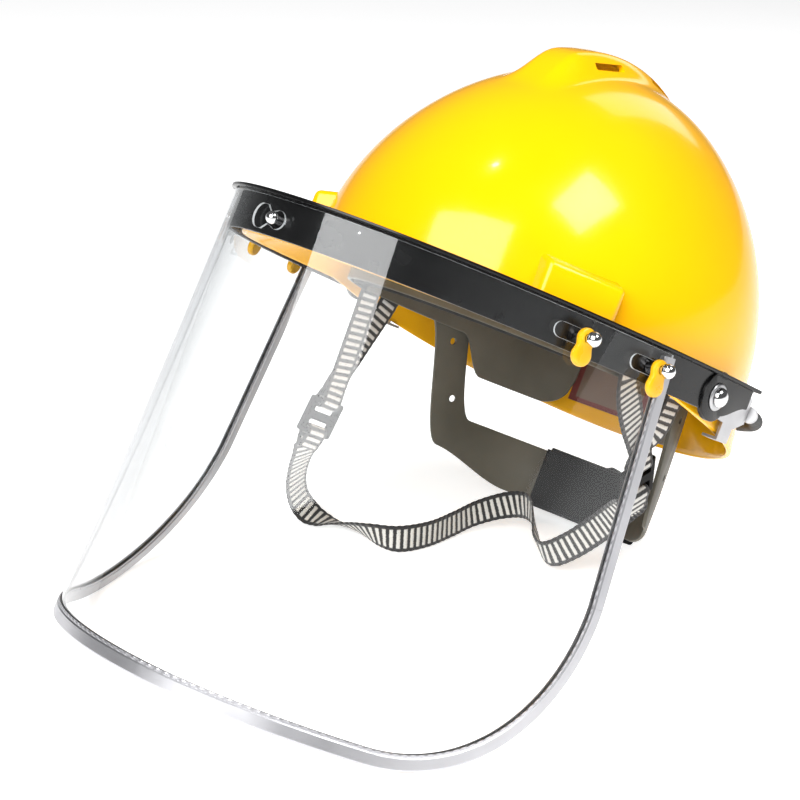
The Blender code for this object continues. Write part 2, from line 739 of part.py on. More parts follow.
# ---------------------------------------------------------------- suspension
def ring_point(angle, grow, z):
    """On the headband's oval, angle 0 at the front, positive to the left."""
    x = (BAND_IN_HALF + grow) * math.sin(angle)
    y = BAND_IN_Y - (BAND_IN_LONG + grow) * math.cos(angle)
    return (x, y, z)


def strip(name, stations, colour, roughness):
    """Loft of (angle, inner grow, thickness, low z, high z) stations round the oval."""
    sections = []
    for angle, grow, thick, low, high in stations:
        sections.append([ring_point(angle, grow, low), ring_point(angle, grow + thick, low),
                         ring_point(angle, grow + thick, high), ring_point(angle, grow, high)])
    return add(name, loft(name, sections), HAT, colour, roughness)


def headband():
    """Moulded band from one rear end round the forehead to the other, ends rounded."""
    end = math.radians(161)
    stations = []
    for angle in np.linspace(-end, end, 81):
        left = (end - abs(angle)) / math.radians(11)
        close = math.sqrt(max(0.0, 1 - (1 - min(1.0, left)) ** 2))
        low = HEADBAND_LOW - HEADBAND_LOBE * ramp(math.degrees(abs(angle)), 117, 128)
        middle = (low + HEADBAND_HIGH) / 2
        half = (HEADBAND_HIGH - low) / 2 * (0.35 + 0.65 * close)
        stations.append((angle, 0.0, STRIP, middle - half, middle + half))
    return strip("headband", stations, GREY, 0.5)


def sweatband():
    """Soft pad over the inside of the forehead."""
    stations = []
    for angle in np.linspace(math.radians(-62), math.radians(62), 27):
        stations.append((angle, -0.0052, 0.0046, HEADBAND_LOW - 0.001, HEADBAND_HIGH + 0.001))
    return strip("sweatband", stations, (0.05, 0.05, 0.05), 0.9)


def nape_centre(turn):
    """Middle line of a nape strap: turn 0 at the headband's side, 1 at the back. Angle, z, half height."""
    degrees = 100 + 80 * turn
    low = -0.0160 - 0.0620 * ramp(degrees, 104, 123) + (NAPE_Z - NAPE_HALF_HEIGHT + 0.0780) * ramp(degrees, 122, 150)
    high = 0.0080 + (NAPE_Z + NAPE_HALF_HEIGHT - 0.0080) * ramp(degrees, 112, 131)
    return math.radians(degrees), (low + high) / 2, (high - low) / 2


def nape_straps():
    """Two arms that drop behind the ears and cross inside the ratchet housing."""
    for side, word in ((1, "left"), (-1, "right")):
        stations = []
        extra = 0.0026 if side > 0 else 0.0
        for turn in np.linspace(0, 1.12, 36):
            angle, z, half = nape_centre(turn)
            close = ramp(turn, -0.02, 0.05) * (1 - ramp(turn, 1.06, 1.13))
            half = half * (0.45 + 0.55 * close)
            grow = STRIP + GAP + 0.0042 * ramp(turn, 0.0, 0.6) + extra * ramp(turn, 0.55, 0.85)
            stations.append((side * angle, grow, STRIP, z - half, z + half))
        strip("nape_strap_" + word, stations, GREY, 0.5)


def nape_back(grow):
    """Y of the nape straps' oval at the back."""
    return BAND_IN_Y + BAND_IN_LONG + grow


def ratchet():
    """Adjuster at the back: cover inside, housing outside, pinion and knob on one axis."""
    inner = STRIP + GAP + 0.0042
    outer = inner + 0.0026 + STRIP
    wide = math.radians(20)
    low = NAPE_Z - 0.0150
    high = NAPE_Z + 0.0150
    angles = [math.pi + a for a in np.linspace(-wide, wide, 13)]
    plate = [(a, inner - 0.0026, 0.0022, low, high) for a in angles]
    cover = strip("adjuster_cover", plate, BLACK, 0.45)
    soften(cover, 0.0007)
    front = nape_back(outer + 0.0005)
    depth = 0.0085
    housing = strip("adjuster_housing", [(a, outer + 0.0005, depth, low - 0.0015, high + 0.0015)
                                         for a in angles], BLACK, 0.4)
    soften(housing, 0.0016)
    chamber = cutter("adjuster_chamber", rod("chamber", 0.0120, (0, front - 0.003, KNOB_Z),
                                             (0, front + 0.0060, KNOB_Z), 28))
    combine(housing, chamber)
    bore_end = (0, front + depth + 0.002, KNOB_Z)
    bore = cutter("adjuster_bore", rod("bore", 0.0036, (0, front, KNOB_Z), bore_end, 20))
    combine(housing, bore)
    pinion(front)
    knob(front + depth)


def soften(obj, width):
    mod = obj.modifiers.new("soft_edges", "BEVEL")
    mod.width = width
    mod.segments = 2
    mod.limit_method = "ANGLE"
    return mod


def pinion(front):
    """Toothed wheel in the housing's chamber, with the shaft that the knob sits on."""
    teeth = 12
    ring = []
    for i in range(teeth * 4):
        angle = 2 * math.pi * i / (teeth * 4)
        radius = 0.0105 if i % 4 in (0, 1) else 0.0086
        ring.append((radius * math.cos(angle), radius * math.sin(angle)))
    low = front + 0.0008
    high = front + 0.0052
    loops = [[(x, y, KNOB_Z + z) for x, z in ring] for y in (low, high)]
    obj = add("adjuster_pinion", loft("pinion", loops), HAT, (0.12, 0.12, 0.12), 0.5,
              origin=(0, 0, KNOB_Z))
    shaft_end = (0, front + 0.0130, KNOB_Z)
    shaft = cutter("pinion_shaft", rod("shaft", 0.0032, (0, high - 0.001, KNOB_Z), shaft_end, 20))
    combine(obj, shaft, "UNION")


def knob(face):
    """Round hand knob with finger flutes."""
    flutes = 12
    low = face + 0.0004
    high = low + 0.0105
    loops = []
    for y, scale in ((low, 0.95), (low + 0.001, 1.0), (high - 0.0025, 0.96), (high, 0.82)):
        loop = []
        for i in range(flutes * 4):
            angle = 2 * math.pi * i / (flutes * 4)
            radius = KNOB_RADIUS * scale * (1 - 0.055 * (0.5 - 0.5 * math.cos(flutes * angle)))
            loop.append((radius * math.cos(angle), y, KNOB_Z + radius * math.sin(angle)))
        loops.append(loop)
    obj = add("adjuster_knob", loft("knob", loops), HAT, BLACK, 0.45, origin=(0, low, KNOB_Z))
    socket_end = (0, low + 0.0045, KNOB_Z)
    socket = cutter("knob_socket", rod("socket", 0.0035, (0, low - 0.001, KNOB_Z), socket_end, 20))
    combine(obj, socket)
    return obj


CRADLE_ANGLES = (35, 90, 140, 220, 270, 325)


def cradle():
    """Moulded crown web: a ring over the head and six arms down to the keys."""
    top = 0.0880
    hub_radius = 0.0270
    ring = [(hub_radius, top + 0.0016), (hub_radius, top), (0.0150, top), (0.0150, top + 0.0016),
            (hub_radius, top + 0.0016)]
    hub = add_turned("crown_cradle", ring, (0, 0, 1), (0, DOME_Y, 0), HAT, GREY, 0.5, 0.0, 36)
    for number, degrees in enumerate(CRADLE_ANGLES):
        angle = math.radians(degrees)
        outward = Vector((math.sin(angle), -math.cos(angle), 0))
        side = Vector((math.cos(angle), math.sin(angle), 0))
        foot = Vector(ring_point(angle, STRIP + 0.0045, 0.0030))
        start = Vector((0, DOME_Y, top)) + outward * hub_radius * 0.85
        sections = []
        for t in np.linspace(0, 1, 13):
            bend = math.radians(90 * t)
            flat = start.lerp(foot, math.sin(bend) ** 0.92)
            z = foot.z + (top + 0.0002 - foot.z) * math.cos(bend) ** 0.80
            place = Vector((flat.x, flat.y, z))
            half = side * (0.0075 + 0.0020 * t)
            away = outward * math.sin(bend) + Vector((0, 0, 1)) * math.cos(bend)
            thick = away * 0.0013
            sections.append([place - half, place + half, place + half + thick, place - half + thick])
        arm = cutter(f"cradle_arm_{number}", loft("arm", sections))
        combine(hub, arm, "UNION")
        key = Vector(ring_point(angle, STRIP + 0.0045 + 0.0013 + GAP + 0.0022, 0.0060))
        turn = Vector((0, 1, 0)).rotation_difference(outward).to_matrix()
        key_block = block("key", (0.0150, 0.0040, 0.0120), key, turn)
        body = add(f"cradle_key_{number + 1}", key_block, HAT, GREY, 0.5)
        soften(body, 0.0008)
    return hub


def label():
    """Blank data label stuck inside the back of the shell."""
    rows = []
    for z in np.linspace(-0.030, 0.004, 5):
        row = []
        for x in np.linspace(-0.034, 0.010, 7):
            back = 0.0990 - 0.0006
            y = DOME_Y + back * math.sqrt(1 - (x / 0.0975) ** 2) - 0.0003
            row.append((x, y, z))
        rows.append(row)
    wide = 7
    faces = [[i * wide + j, i * wide + j + 1, (i + 1) * wide + j + 1, (i + 1) * wide + j]
             for i in range(4) for j in range(wide - 1)]
    mesh = from_faces("label", [p for row in rows for p in row], faces)
    obj = add("label", mesh, HAT, (0.75, 0.70, 0.62), 0.6)
    solidify(obj, 0.0004, 0.0)
    return obj


# ---------------------------------------------------------------- chin strap (world space)
def ribbon(name, route, per_span, wide=WEB_WIDTH, thick=WEB_THICK):
    """Flat webbing through (x, y, z, width direction) points."""
    line = smooth_route([r[:3] for r in route], per_span)
    across = smooth_route([r[3:] for r in route], per_span)
    sections = []
    for i, (place, width) in enumerate(zip(line, across)):
        along = line[min(i + 1, len(line) - 1)] - line[max(i - 1, 0)]
        along /= np.linalg.norm(along)
        width = width - along * float(np.dot(width, along))
        width /= np.linalg.norm(width)
        normal = np.cross(along, width)
        half = width * wide / 2
        off = normal * thick / 2
        sections.append([place - half - off, place + half - off, place + half + off, place - half + off])
    return add(name, loft(name, sections), None, (0.10, 0.10, 0.10), 0.9)


MAIN_STRAP = (  # centre of the webbing in millimetres, then the direction across it
    (-86.6, 7.6, 54.0, 0.10, 0.90, -0.40), (-90.6, 9.2, 46.0, 0.08, 0.98, -0.10),
    (-96.0, 12.0, 38.0, 0.05, 1.00, 0.05), (-102.0, 16.0, 25.5, 0.00, 1.00, 0.15),
    (-104.5, 21.0, 13.5, 0.00, 0.95, 0.30), (-100.5, 25.5, 5.2, 0.10, 0.95, 0.22),
    (-92.0, 28.0, 2.8, 0.10, 1.00, 0.00), (-83.0, 29.2, 3.8, 0.00, 0.90, -0.30),
    (-72.0, 29.5, 5.4, 0.10, 0.75, -0.60), (-57.0, 28.8, 7.4, 0.20, 0.40, -0.88),
    (-44.5, 34.0, 7.8, 0.10, 0.10, -1.00), (-39.0, 50.0, 7.8, 0.00, 0.00, -1.00),
    (-38.5, 68.0, 8.4, 0.00, 0.00, -1.00), (-37.0, 83.0, 10.5, 0.00, 0.00, -1.00),
    (-30.0, 94.0, 14.0, 0.00, 0.00, -1.00), (-20.0, 98.0, 17.5, 0.00, 0.00, -1.00),
    (-10.0, 95.0, 19.0, 0.00, 0.10, -1.00), (0.0, 87.5, 15.5, 0.10, 0.30, -0.90),
    (9.5, 79.0, 10.2, 0.25, 0.35, -0.90), (19.0, 76.5, 10.0, 0.45, 0.25, -0.85),
    (29.0, 80.5, 17.0, 0.62, 0.12, -0.76), (39.5, 84.0, 27.5, 0.64, 0.11, -0.76),
    (49.5, 83.5, 38.0, 0.60, 0.20, -0.74), (59.0, 80.0, 47.5, 0.45, 0.50, -0.65),
    (65.8, 75.2, 52.4, 0.25, 0.85, -0.40), (70.6, 70.4, 56.6, 0.00, 0.98, 0.15),
)
SLIDERS = {  # middle, direction up the legs, direction across
    "left": ((73.0, 67.0, 70.0), (0.10, -0.15, 0.98), (0.0, 0.98, 0.15)),
    "right": ((-84.5, 14.0, 66.5), (0.10, 0.46, 0.88), (0.0, 0.88, -0.46)),
}
SLIDER_SIZE = (0.0240, 0.0190, 0.0034)
LEGS = {  # top of each leg beside the headband, and the point just below the headband's edge
    "left_front": ((78.9, 48.9, 138.4), (78.9, 43.1, 126.7), -1),
    "left_rear": ((80.8, 83.8, 121.1), (80.8, 78.0, 109.4), 1),
    "right_front": ((-78.9, 45.3, 140.1), (-78.9, 39.5, 128.5), -1),
    "right_rear": ((-79.8, 60.5, 132.6), (-79.8, 54.8, 120.9), 1),
}
ACROSS_HAT = (0.0, math.cos(TILT), -math.sin(TILT))


def chin_strap():
    """Elastic webbing: one long strap, and two legs from a slider up to each side of the headband."""
    ribbon("chin_strap", [(x * MM, y * MM, z * MM, *w) for x, y, z, *w in MAIN_STRAP], 2)
    for word, (middle, up, across) in SLIDERS.items():
        slider("chin_slider_" + word, middle, up, across)
    for word, (top, edge, layer) in LEGS.items():
        side = word.split("_")[0]
        middle, up, across = (Vector(v) for v in SLIDERS[side])
        up.normalize()
        away = 1 if side == "left" else -1
        end = middle * MM + up * (SLIDER_SIZE[1] / 2 + 0.0022) + Vector((away * layer * 0.0009, 0, 0))
        edge = Vector(edge) * MM
        knee = edge.lerp(end, 0.5) + Vector((away * layer * 0.0005, 0, 0))
        above = end + up * 0.006
        route = [(*(Vector(top) * MM), *ACROSS_HAT), (*edge, *ACROSS_HAT), (*knee, *ACROSS_HAT),
                 (*above, *across), (*end, *across)]
        ribbon("chin_leg_" + word, route, 4)


def slider(name, middle, up, across):
    """Three-bar plastic slide: a plate with two windows for the webbing."""
    wide, tall, thick = SLIDER_SIZE
    up = Vector(up).normalized()
    across = (Vector(across) - up * Vector(across).dot(up)).normalized()
    turn = Matrix((across, up, across.cross(up))).transposed()
    middle = Vector(middle) * MM
    obj = add(name, block(name, (wide, tall, thick), middle, turn), None, BLACK, 0.45)
    soften(obj, 0.0008)
    for sign in (-1, 1):
        window = block("window", (wide - 0.0075, 0.0046, thick * 3), middle + up * sign * 0.0045, turn)
        combine(obj, cutter(f"{name}_window_{sign}", window, None))
    return obj


bracket_band()
visor_sheet()
edge_trim()
studs_and_tabs()
shell()
pivots()
rear_spring()
headband()
sweatband()
nape_straps()
ratchet()
cradle()
label()
chin_strap()
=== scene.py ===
"""Looks of a safety helmet with a flip-up face shield, lying tipped back on a plain white surface.

Shapes are drawn in the hat's own frame, as the CAD draws them: X to the wearer's left, -Y to the
front, Z up, with the shield's pivot axis at Y = 0. HAT carries that frame to where the hat lies.
The chin strap is drawn in world space. All sizes are in metres.
"""

import math
from math import asin, atan2, copysign, cos, hypot, pi, radians, sin, sqrt

import bmesh
import bpy
import numpy as np
from mathutils import Matrix, Vector


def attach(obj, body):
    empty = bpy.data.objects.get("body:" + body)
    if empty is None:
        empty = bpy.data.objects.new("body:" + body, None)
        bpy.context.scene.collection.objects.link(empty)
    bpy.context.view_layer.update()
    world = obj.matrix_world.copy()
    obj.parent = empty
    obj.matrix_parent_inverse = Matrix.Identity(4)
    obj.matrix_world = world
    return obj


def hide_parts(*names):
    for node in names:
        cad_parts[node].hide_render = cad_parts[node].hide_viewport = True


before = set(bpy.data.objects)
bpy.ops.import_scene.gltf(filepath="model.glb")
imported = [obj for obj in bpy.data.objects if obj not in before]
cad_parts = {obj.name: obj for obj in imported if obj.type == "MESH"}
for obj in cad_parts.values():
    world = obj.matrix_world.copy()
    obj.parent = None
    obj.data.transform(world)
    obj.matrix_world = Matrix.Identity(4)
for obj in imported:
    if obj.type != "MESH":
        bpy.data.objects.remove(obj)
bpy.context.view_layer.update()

MM = 0.001
TILT = radians(26.306)
HAT = Matrix.Translation((0, 0.07078, 0.13309)) @ Matrix.Rotation(-TILT, 4, "X")

BAND_HALF, BAND_REACH, BAND_Y, BAND_POWER = 0.1124, 0.2200, 0.0370, 2.07
BAND_HEIGHT, BAND_WALL, BAND_LIP, BAND_LIP_THICK, BAND_END_Y = 0.0185, 0.0022, 0.0042, 0.0016, 0.0270
PIVOT_X, PIVOT_Z, LOBE_RADIUS = 0.1111, -0.0107, 0.0115
SHEET_WIDTH, SHEET_HEIGHT, SHEET_TOP = 0.4000, 0.1987, -0.0027
SHEET_THICK, SHEET_OFF, SHEET_CORNER = 0.0010, 0.0014, 0.0860
FOOT_HALF, FOOT_REACH, FOOT_Y = 0.1324, 0.2197, 0.0354
SHEET_TAPER, TRIM_HALF = 0.0085, 0.0016
STUD_ARCS, STUD_Z, STUD_BALL, STUD_NECK = (0.0, 0.1396, 0.1825), -0.0115, 0.0033, 0.0019
TAB_THICK, TAB_DROP, TAB_TOP, TAB_FOOT = 0.0032, 0.0074, 0.0044, 0.0047
DOME_HALF, DOME_FRONT, DOME_REAR, DOME_Y, DOME_HEIGHT = 0.1005, 0.1331, 0.1026, 0.0115, 0.1216
PLAN_POWER, RISE_POWER = 2.04, 1.84
BRIM_HALF, BRIM_FRONT, BRIM_REAR = 0.1056, 0.1875, 0.1070
SHELL_THICK, RIDGE_HALF, RIDGE_SLOPE = 0.0024, 0.0055, 0.0135
OVAL_HALF, OVAL_LONG, OVAL_Y = 0.0760, 0.0975, -0.0020
BAND_LOW, BAND_HIGH, STRIP = -0.0180, 0.0140, 0.0018
NAPE_Z, NAPE_HALF, KNOB_RADIUS, KNOB_Z = -0.0740, 0.0140, 0.0160, -0.0720
WEB_WIDTH, WEB_THICK, STRIPE_PITCH = 0.0145, 0.0011, 0.0036

GAP = 0.0003                # clearance between neighbouring pieces
NAPE_OUT = 0.0042           # how far the nape straps swing out towards the back
CROSSING = 0.0026           # step that lets the left nape strap pass over the right one
FOOT_OUT = 0.0045           # stand-off of the cradle's feet from the headband
WORLD, KEY, FLOOR_GLOW = 0.12, 9.2, 0.64


# ---------------------------------------------------------------- materials
def new_material(name, colour, roughness, metallic=0.0):
    mat = bpy.data.materials.new(name)
    mat.use_nodes = True
    shader = mat.node_tree.nodes["Principled BSDF"]
    shader.inputs["Base Color"].default_value = (*colour, 1.0)
    shader.inputs["Roughness"].default_value = roughness
    shader.inputs["Metallic"].default_value = metallic
    return mat, mat.node_tree, shader


def node(tree, kind, **values):
    """A node; values that name an input set it, the others set the node's own property."""
    made = tree.nodes.new("ShaderNode" + kind)
    for key, value in values.items():
        if key in made.inputs:
            made.inputs[key].default_value = value
        else:
            setattr(made, key, value)
    return made


def noise(tree, scale, detail=3.0):
    """Noise over the piece's own space."""
    place = node(tree, "TexCoord")
    made = node(tree, "TexNoise", Scale=scale, Detail=detail)
    tree.links.new(place.outputs["Object"], made.inputs["Vector"])
    return made.outputs["Fac"]


def spread(tree, value, low, high, start=0.3, end=0.7):
    """Maps a 0..1 value onto low..high."""
    made = node(tree, "MapRange")
    for key, number in (("From Min", start), ("From Max", end), ("To Min", low), ("To Max", high)):
        made.inputs[key].default_value = number
    tree.links.new(value, made.inputs["Value"])
    return made.outputs["Result"]


def tint(tree, shader, value, dark, light):
    ramp = node(tree, "ValToRGB")
    ramp.color_ramp.elements[0].position = 0.3
    ramp.color_ramp.elements[1].position = 0.7
    ramp.color_ramp.elements[0].color = (*dark, 1.0)
    ramp.color_ramp.elements[1].color = (*light, 1.0)
    tree.links.new(value, ramp.inputs["Fac"])
    tree.links.new(ramp.outputs["Color"], shader.inputs["Base Color"])
    return ramp


def bump(tree, shader, value, depth):
    made = node(tree, "Bump", Distance=depth, Strength=1.0)
    tree.links.new(value, made.inputs["Height"])
    tree.links.new(made.outputs["Normal"], shader.inputs["Normal"])
    return made


def moulded(name, dark, light, rough, grain, depth, metallic=0.0):
    """Moulded or rolled surface: slight colour drift, uneven gloss and a fine grain."""
    mat, tree, shader = new_material(name, light, rough[0], metallic)
    tint(tree, shader, noise(tree, 22.0, 4.0), dark, light)
    tree.links.new(spread(tree, noise(tree, 60.0, 4.0), *rough), shader.inputs["Roughness"])
    bump(tree, shader, noise(tree, grain, 2.0), depth)
    return mat


def attribute(tree, name):
    return node(tree, "Attribute", attribute_name=name).outputs["Fac"]


def math_node(tree, operation, first, second=0.0):
    made = node(tree, "Math", operation=operation)
    for socket, value in zip(made.inputs, (first, second)):
        if isinstance(value, (int, float)):
            socket.default_value = value
        else:
            tree.links.new(value, socket)
    return made.outputs["Value"]


def mixed_colour(tree, factor, first, second):
    made = node(tree, "Mix", data_type="RGBA")
    tree.links.new(factor, made.inputs[0])
    for socket, value in ((made.inputs[6], first), (made.inputs[7], second)):
        if isinstance(value, tuple):
            socket.default_value = (*value, 1.0)
        else:
            tree.links.new(value, socket)
    return made.outputs[2]


def webbing_material():
    """Woven elastic: light cross bars on black between two black selvedges."""
    mat, tree, shader = new_material("webbing", (0.03, 0.03, 0.03), 0.85)
    along = attribute(tree, "along")
    across = attribute(tree, "across")
    wobble = math_node(tree, "MULTIPLY", noise(tree, 900.0), 0.0007)
    phase = math_node(tree, "DIVIDE", math_node(tree, "ADD", along, wobble), STRIPE_PITCH)
    wave = math_node(tree, "SINE", math_node(tree, "MULTIPLY", phase, 2 * pi))
    bar = spread(tree, wave, 0.0, 1.0, -0.35, 0.35)
    middle = math_node(tree, "ABSOLUTE", across)
    inside = spread(tree, middle, 1.0, 0.0, 0.67, 0.75)
    light = math_node(tree, "MULTIPLY", bar, inside)
    threads = spread(tree, noise(tree, 1600.0, 2.0), 0.75, 1.1)
    fibre = mixed_colour(tree, threads, (0.30, 0.30, 0.29), (0.62, 0.61, 0.58))
    tree.links.new(mixed_colour(tree, light, (0.013, 0.013, 0.014), fibre), shader.inputs["Base Color"])
    cross = math_node(tree, "SINE", math_node(tree, "MULTIPLY", across, 42.0))
    height = math_node(tree, "ADD", math_node(tree, "MULTIPLY", cross, 0.25), wave)
    bump(tree, shader, height, 0.00012)
    shader.inputs["Sheen Weight"].default_value = 0.25
    return mat


def clear_material(name, veil):
    """Clear sheet: see-through, with a grey veil, a gloss that grows at grazing angles, and specks."""
    mat, tree, shader = new_material(name, (0.95, 0.96, 0.97), 0.03)
    clear = node(tree, "BsdfTransparent")
    facing = spread(tree, node(tree, "LayerWeight", Blend=0.5).outputs["Facing"], 0.0, 1.0, 0.45, 1.0)
    tree.links.new(mixed_colour(tree, facing, (0.975, 0.98, 0.98), (0.70, 0.71, 0.72)), clear.inputs["Color"])
    fresnel = node(tree, "Fresnel", IOR=1.5)
    outer = math_node(tree, "SUBTRACT", 1.0, node(tree, "NewGeometry").outputs["Backfacing"])
    cells = node(tree, "TexVoronoi", Scale=70.0, Randomness=1.0)
    place = node(tree, "TexCoord")
    tree.links.new(place.outputs["Object"], cells.inputs["Vector"])
    speck = spread(tree, cells.outputs["Distance"], 0.8, 0.0, 0.030, 0.045)
    rare = spread(tree, noise(tree, 45.0), 0.0, 1.0, 0.60, 0.62)
    dust = math_node(tree, "MULTIPLY", speck, rare)
    gloss = math_node(tree, "ADD", math_node(tree, "MULTIPLY", fresnel.outputs["Fac"], 1.1), veil)
    amount = math_node(tree, "MULTIPLY", math_node(tree, "MAXIMUM", gloss, dust), outer)
    both = node(tree, "MixShader")
    tree.links.new(amount, both.inputs[0])
    tree.links.new(clear.outputs[0], both.inputs[1])
    tree.links.new(math_node(tree, "SUBTRACT", 1.0, dust), shader.inputs["Metallic"])
    tree.links.new(spread(tree, noise(tree, 30.0), 0.02, 0.05), shader.inputs["Roughness"])
    tree.links.new(shader.outputs[0], both.inputs[2])
    tree.links.new(both.outputs[0], tree.nodes["Material Output"].inputs["Surface"])
    return mat


def shell_material():
    """Glossy ABS with a faint orange peel and fine rubbing marks."""
    mat, tree, shader = new_material("shell_abs", (0.93, 0.46, 0.0004), 0.15)
    tint(tree, shader, noise(tree, 14.0, 4.0), (0.91, 0.445, 0.0003), (0.95, 0.475, 0.0005))
    shader.inputs["Specular IOR Level"].default_value = 0.22
    tree.links.new(spread(tree, noise(tree, 40.0, 5.0), 0.11, 0.20), shader.inputs["Roughness"])
    bump(tree, shader, noise(tree, 420.0, 2.0), 0.00002)
    shader.inputs["Coat Weight"].default_value = 0.2
    shader.inputs["Coat Roughness"].default_value = 0.05
    return mat


def label_material():
    """Blank film with a plain muted border."""
    mat, tree, shader = new_material("label_film", (0.72, 0.66, 0.56), 0.55)
    u = attribute(tree, "along")
    v = attribute(tree, "across")
    edge = math_node(tree, "MAXIMUM", math_node(tree, "ABSOLUTE", u), math_node(tree, "ABSOLUTE", v))
    border = spread(tree, edge, 0.0, 1.0, 0.84, 0.86)
    paper = mixed_colour(tree, noise(tree, 70.0), (0.15, 0.10, 0.075), (0.22, 0.16, 0.12))
    tree.links.new(mixed_colour(tree, border, paper, (0.16, 0.022, 0.018)), shader.inputs["Base Color"])
    return mat


M = {
    "shell": shell_material(),
    "band": moulded("band_satin", (0.0020, 0.0020, 0.0022), (0.0045, 0.0045, 0.0048), (0.20, 0.30), 500, 0.00001),
    "black": moulded("black_plastic", (0.0025, 0.0025, 0.0025), (0.006, 0.006, 0.006), (0.42, 0.55), 900, 0.00001),
    "grey": moulded("suspension_grey", (0.075, 0.070, 0.054), (0.115, 0.108, 0.086), (0.38, 0.52), 260, 0.00003),
    "tab": moulded("tab_yellow", (0.66, 0.33, 0.002), (0.74, 0.39, 0.003), (0.24, 0.34), 350, 0.00002),
    "chrome": moulded("chrome", (0.60, 0.60, 0.61), (0.80, 0.80, 0.81), (0.05, 0.12), 200, 0.00001, 1.0),
    "zinc": moulded("zinc_plate", (0.36, 0.36, 0.37), (0.55, 0.55, 0.56), (0.28, 0.45), 300, 0.00003, 1.0),
    "trim": moulded("trim_metal", (0.40, 0.40, 0.42), (0.50, 0.50, 0.52), (0.36, 0.44), 260, 0.00002, 1.0),
    "sheath": moulded("spring_sheath", (0.008, 0.008, 0.008), (0.02, 0.02, 0.02), (0.5, 0.7), 500, 0.00004),
    "foam": moulded("sweat_foam", (0.012, 0.012, 0.013), (0.035, 0.035, 0.035), (0.8, 0.95), 1400, 0.0002),
    "thread": moulded("sewing_thread", (0.55, 0.54, 0.50), (0.75, 0.74, 0.70), (0.7, 0.9), 3000, 0.00005),
    "web": webbing_material(),
    "clear": clear_material("clear_sheet", 0.003),
    "cut": moulded("sheet_cut_edge", (0.42, 0.44, 0.45), (0.62, 0.64, 0.65), (0.25, 0.4), 800, 0.00002),
    "label": label_material(),
}
# Specular level of the dull plastics, low so that they stay dark under the lights.
for look, gloss in (("black", 0.08), ("band", 0.30), ("grey", 0.18), ("foam", 0.1)):
    M[look].node_tree.nodes["Principled BSDF"].inputs["Specular IOR Level"].default_value = gloss


# ---------------------------------------------------------------- making pieces
def tidy_mesh(mesh, angle=35):
    bm = bmesh.new()
    bm.from_mesh(mesh)
    bmesh.ops.remove_doubles(bm, verts=bm.verts, dist=1e-7)
    bmesh.ops.recalc_face_normals(bm, faces=bm.faces)
    bm.to_mesh(mesh)
    bm.free()
    mesh.shade_smooth()
    mesh.set_sharp_from_angle(angle=radians(angle))


def piece(name, verts, faces, look, attributes=None, in_world=False, angle=35):
    """A mesh object in place, drawn in the hat's frame unless in_world."""
    mesh = bpy.data.meshes.new(name)
    mesh.from_pydata([tuple(v) for v in verts], [], faces)
    for key, values in (attributes or {}).items():
        made = mesh.attributes.new(key, "FLOAT", "POINT")
        made.data.foreach_set("value", np.asarray(values, np.float32))
    if not in_world:
        mesh.transform(HAT)
    tidy_mesh(mesh, angle)
    obj = bpy.data.objects.new(name, mesh)
    bpy.context.scene.collection.objects.link(obj)
    mesh.materials.append(M[look])
    obj["look"] = look
    return obj


def keep(obj, body, *nodes):
    """The piece rides on a body and stands for CAD nodes."""
    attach(obj, body)
    if nodes:
        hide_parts(*nodes)
    return obj


def apply_modifiers(obj, angle=35):
    graph = bpy.context.evaluated_depsgraph_get()
    mesh = bpy.data.meshes.new_from_object(obj.evaluated_get(graph))
    obj.modifiers.clear()
    obj.data = mesh
    tidy_mesh(mesh, angle)
    return obj


def cut(obj, tools, operation="DIFFERENCE", angle=35):
    """Boolean of obj with each tool, whose own material goes onto the faces it makes."""
    for tool in tools:
        mod = obj.modifiers.new(tool.name, "BOOLEAN")
        mod.operation = operation
        mod.object = tool
        mod.material_mode = "TRANSFER"
    apply_modifiers(obj, angle)
    for tool in tools:
        bpy.data.objects.remove(tool)
    return obj


def solidify(obj, thickness, offset, rim_material=0):
    mod = obj.modifiers.new("wall", "SOLIDIFY")
    mod.thickness = thickness
    mod.offset = offset
    mod.use_even_offset = True
    mod.material_offset_rim = rim_material


def bevel(obj, width, segments=3, angle=30):
    mod = obj.modifiers.new("edges", "BEVEL")
    mod.width = width
    mod.segments = segments
    mod.limit_method = "ANGLE"
    mod.angle_limit = radians(angle)


def grid_faces(rows, columns, wrap=False):
    faces = []
    for i in range(rows - 1):
        for j in range(columns if wrap else columns - 1):
            k = (j + 1) % columns
            faces.append((i * columns + j, i * columns + k, (i + 1) * columns + k, (i + 1) * columns + j))
    return faces


def loft(name, sections, look, attributes=None, in_world=False, angle=35):
    """A closed body through closed loops of equal length, capped at both ends."""
    count = len(sections[0])
    verts = [p for loop in sections for p in loop]
    faces = grid_faces(len(sections), count, wrap=True)
    faces.append(tuple(range(count)))
    faces.append(tuple(range(len(verts) - count, len(verts))))
    return piece(name, verts, faces, look, attributes, in_world, angle)


def rounded(outline, radius, steps=3):
    """A closed outline with its corners turned into small curves."""
    pts = [np.array(p, float) for p in outline]
    out = []
    for i, corner in enumerate(pts):
        before = pts[i - 1] - corner
        after = pts[(i + 1) % len(pts)] - corner
        reach = min(radius, 0.45 * np.linalg.norm(before), 0.45 * np.linalg.norm(after))
        start = corner + before / np.linalg.norm(before) * reach
        end = corner + after / np.linalg.norm(after) * reach
        for t in np.linspace(0, 1, steps + 1):
            out.append((1 - t) ** 2 * start + 2 * t * (1 - t) * corner + t * t * end)
    return out


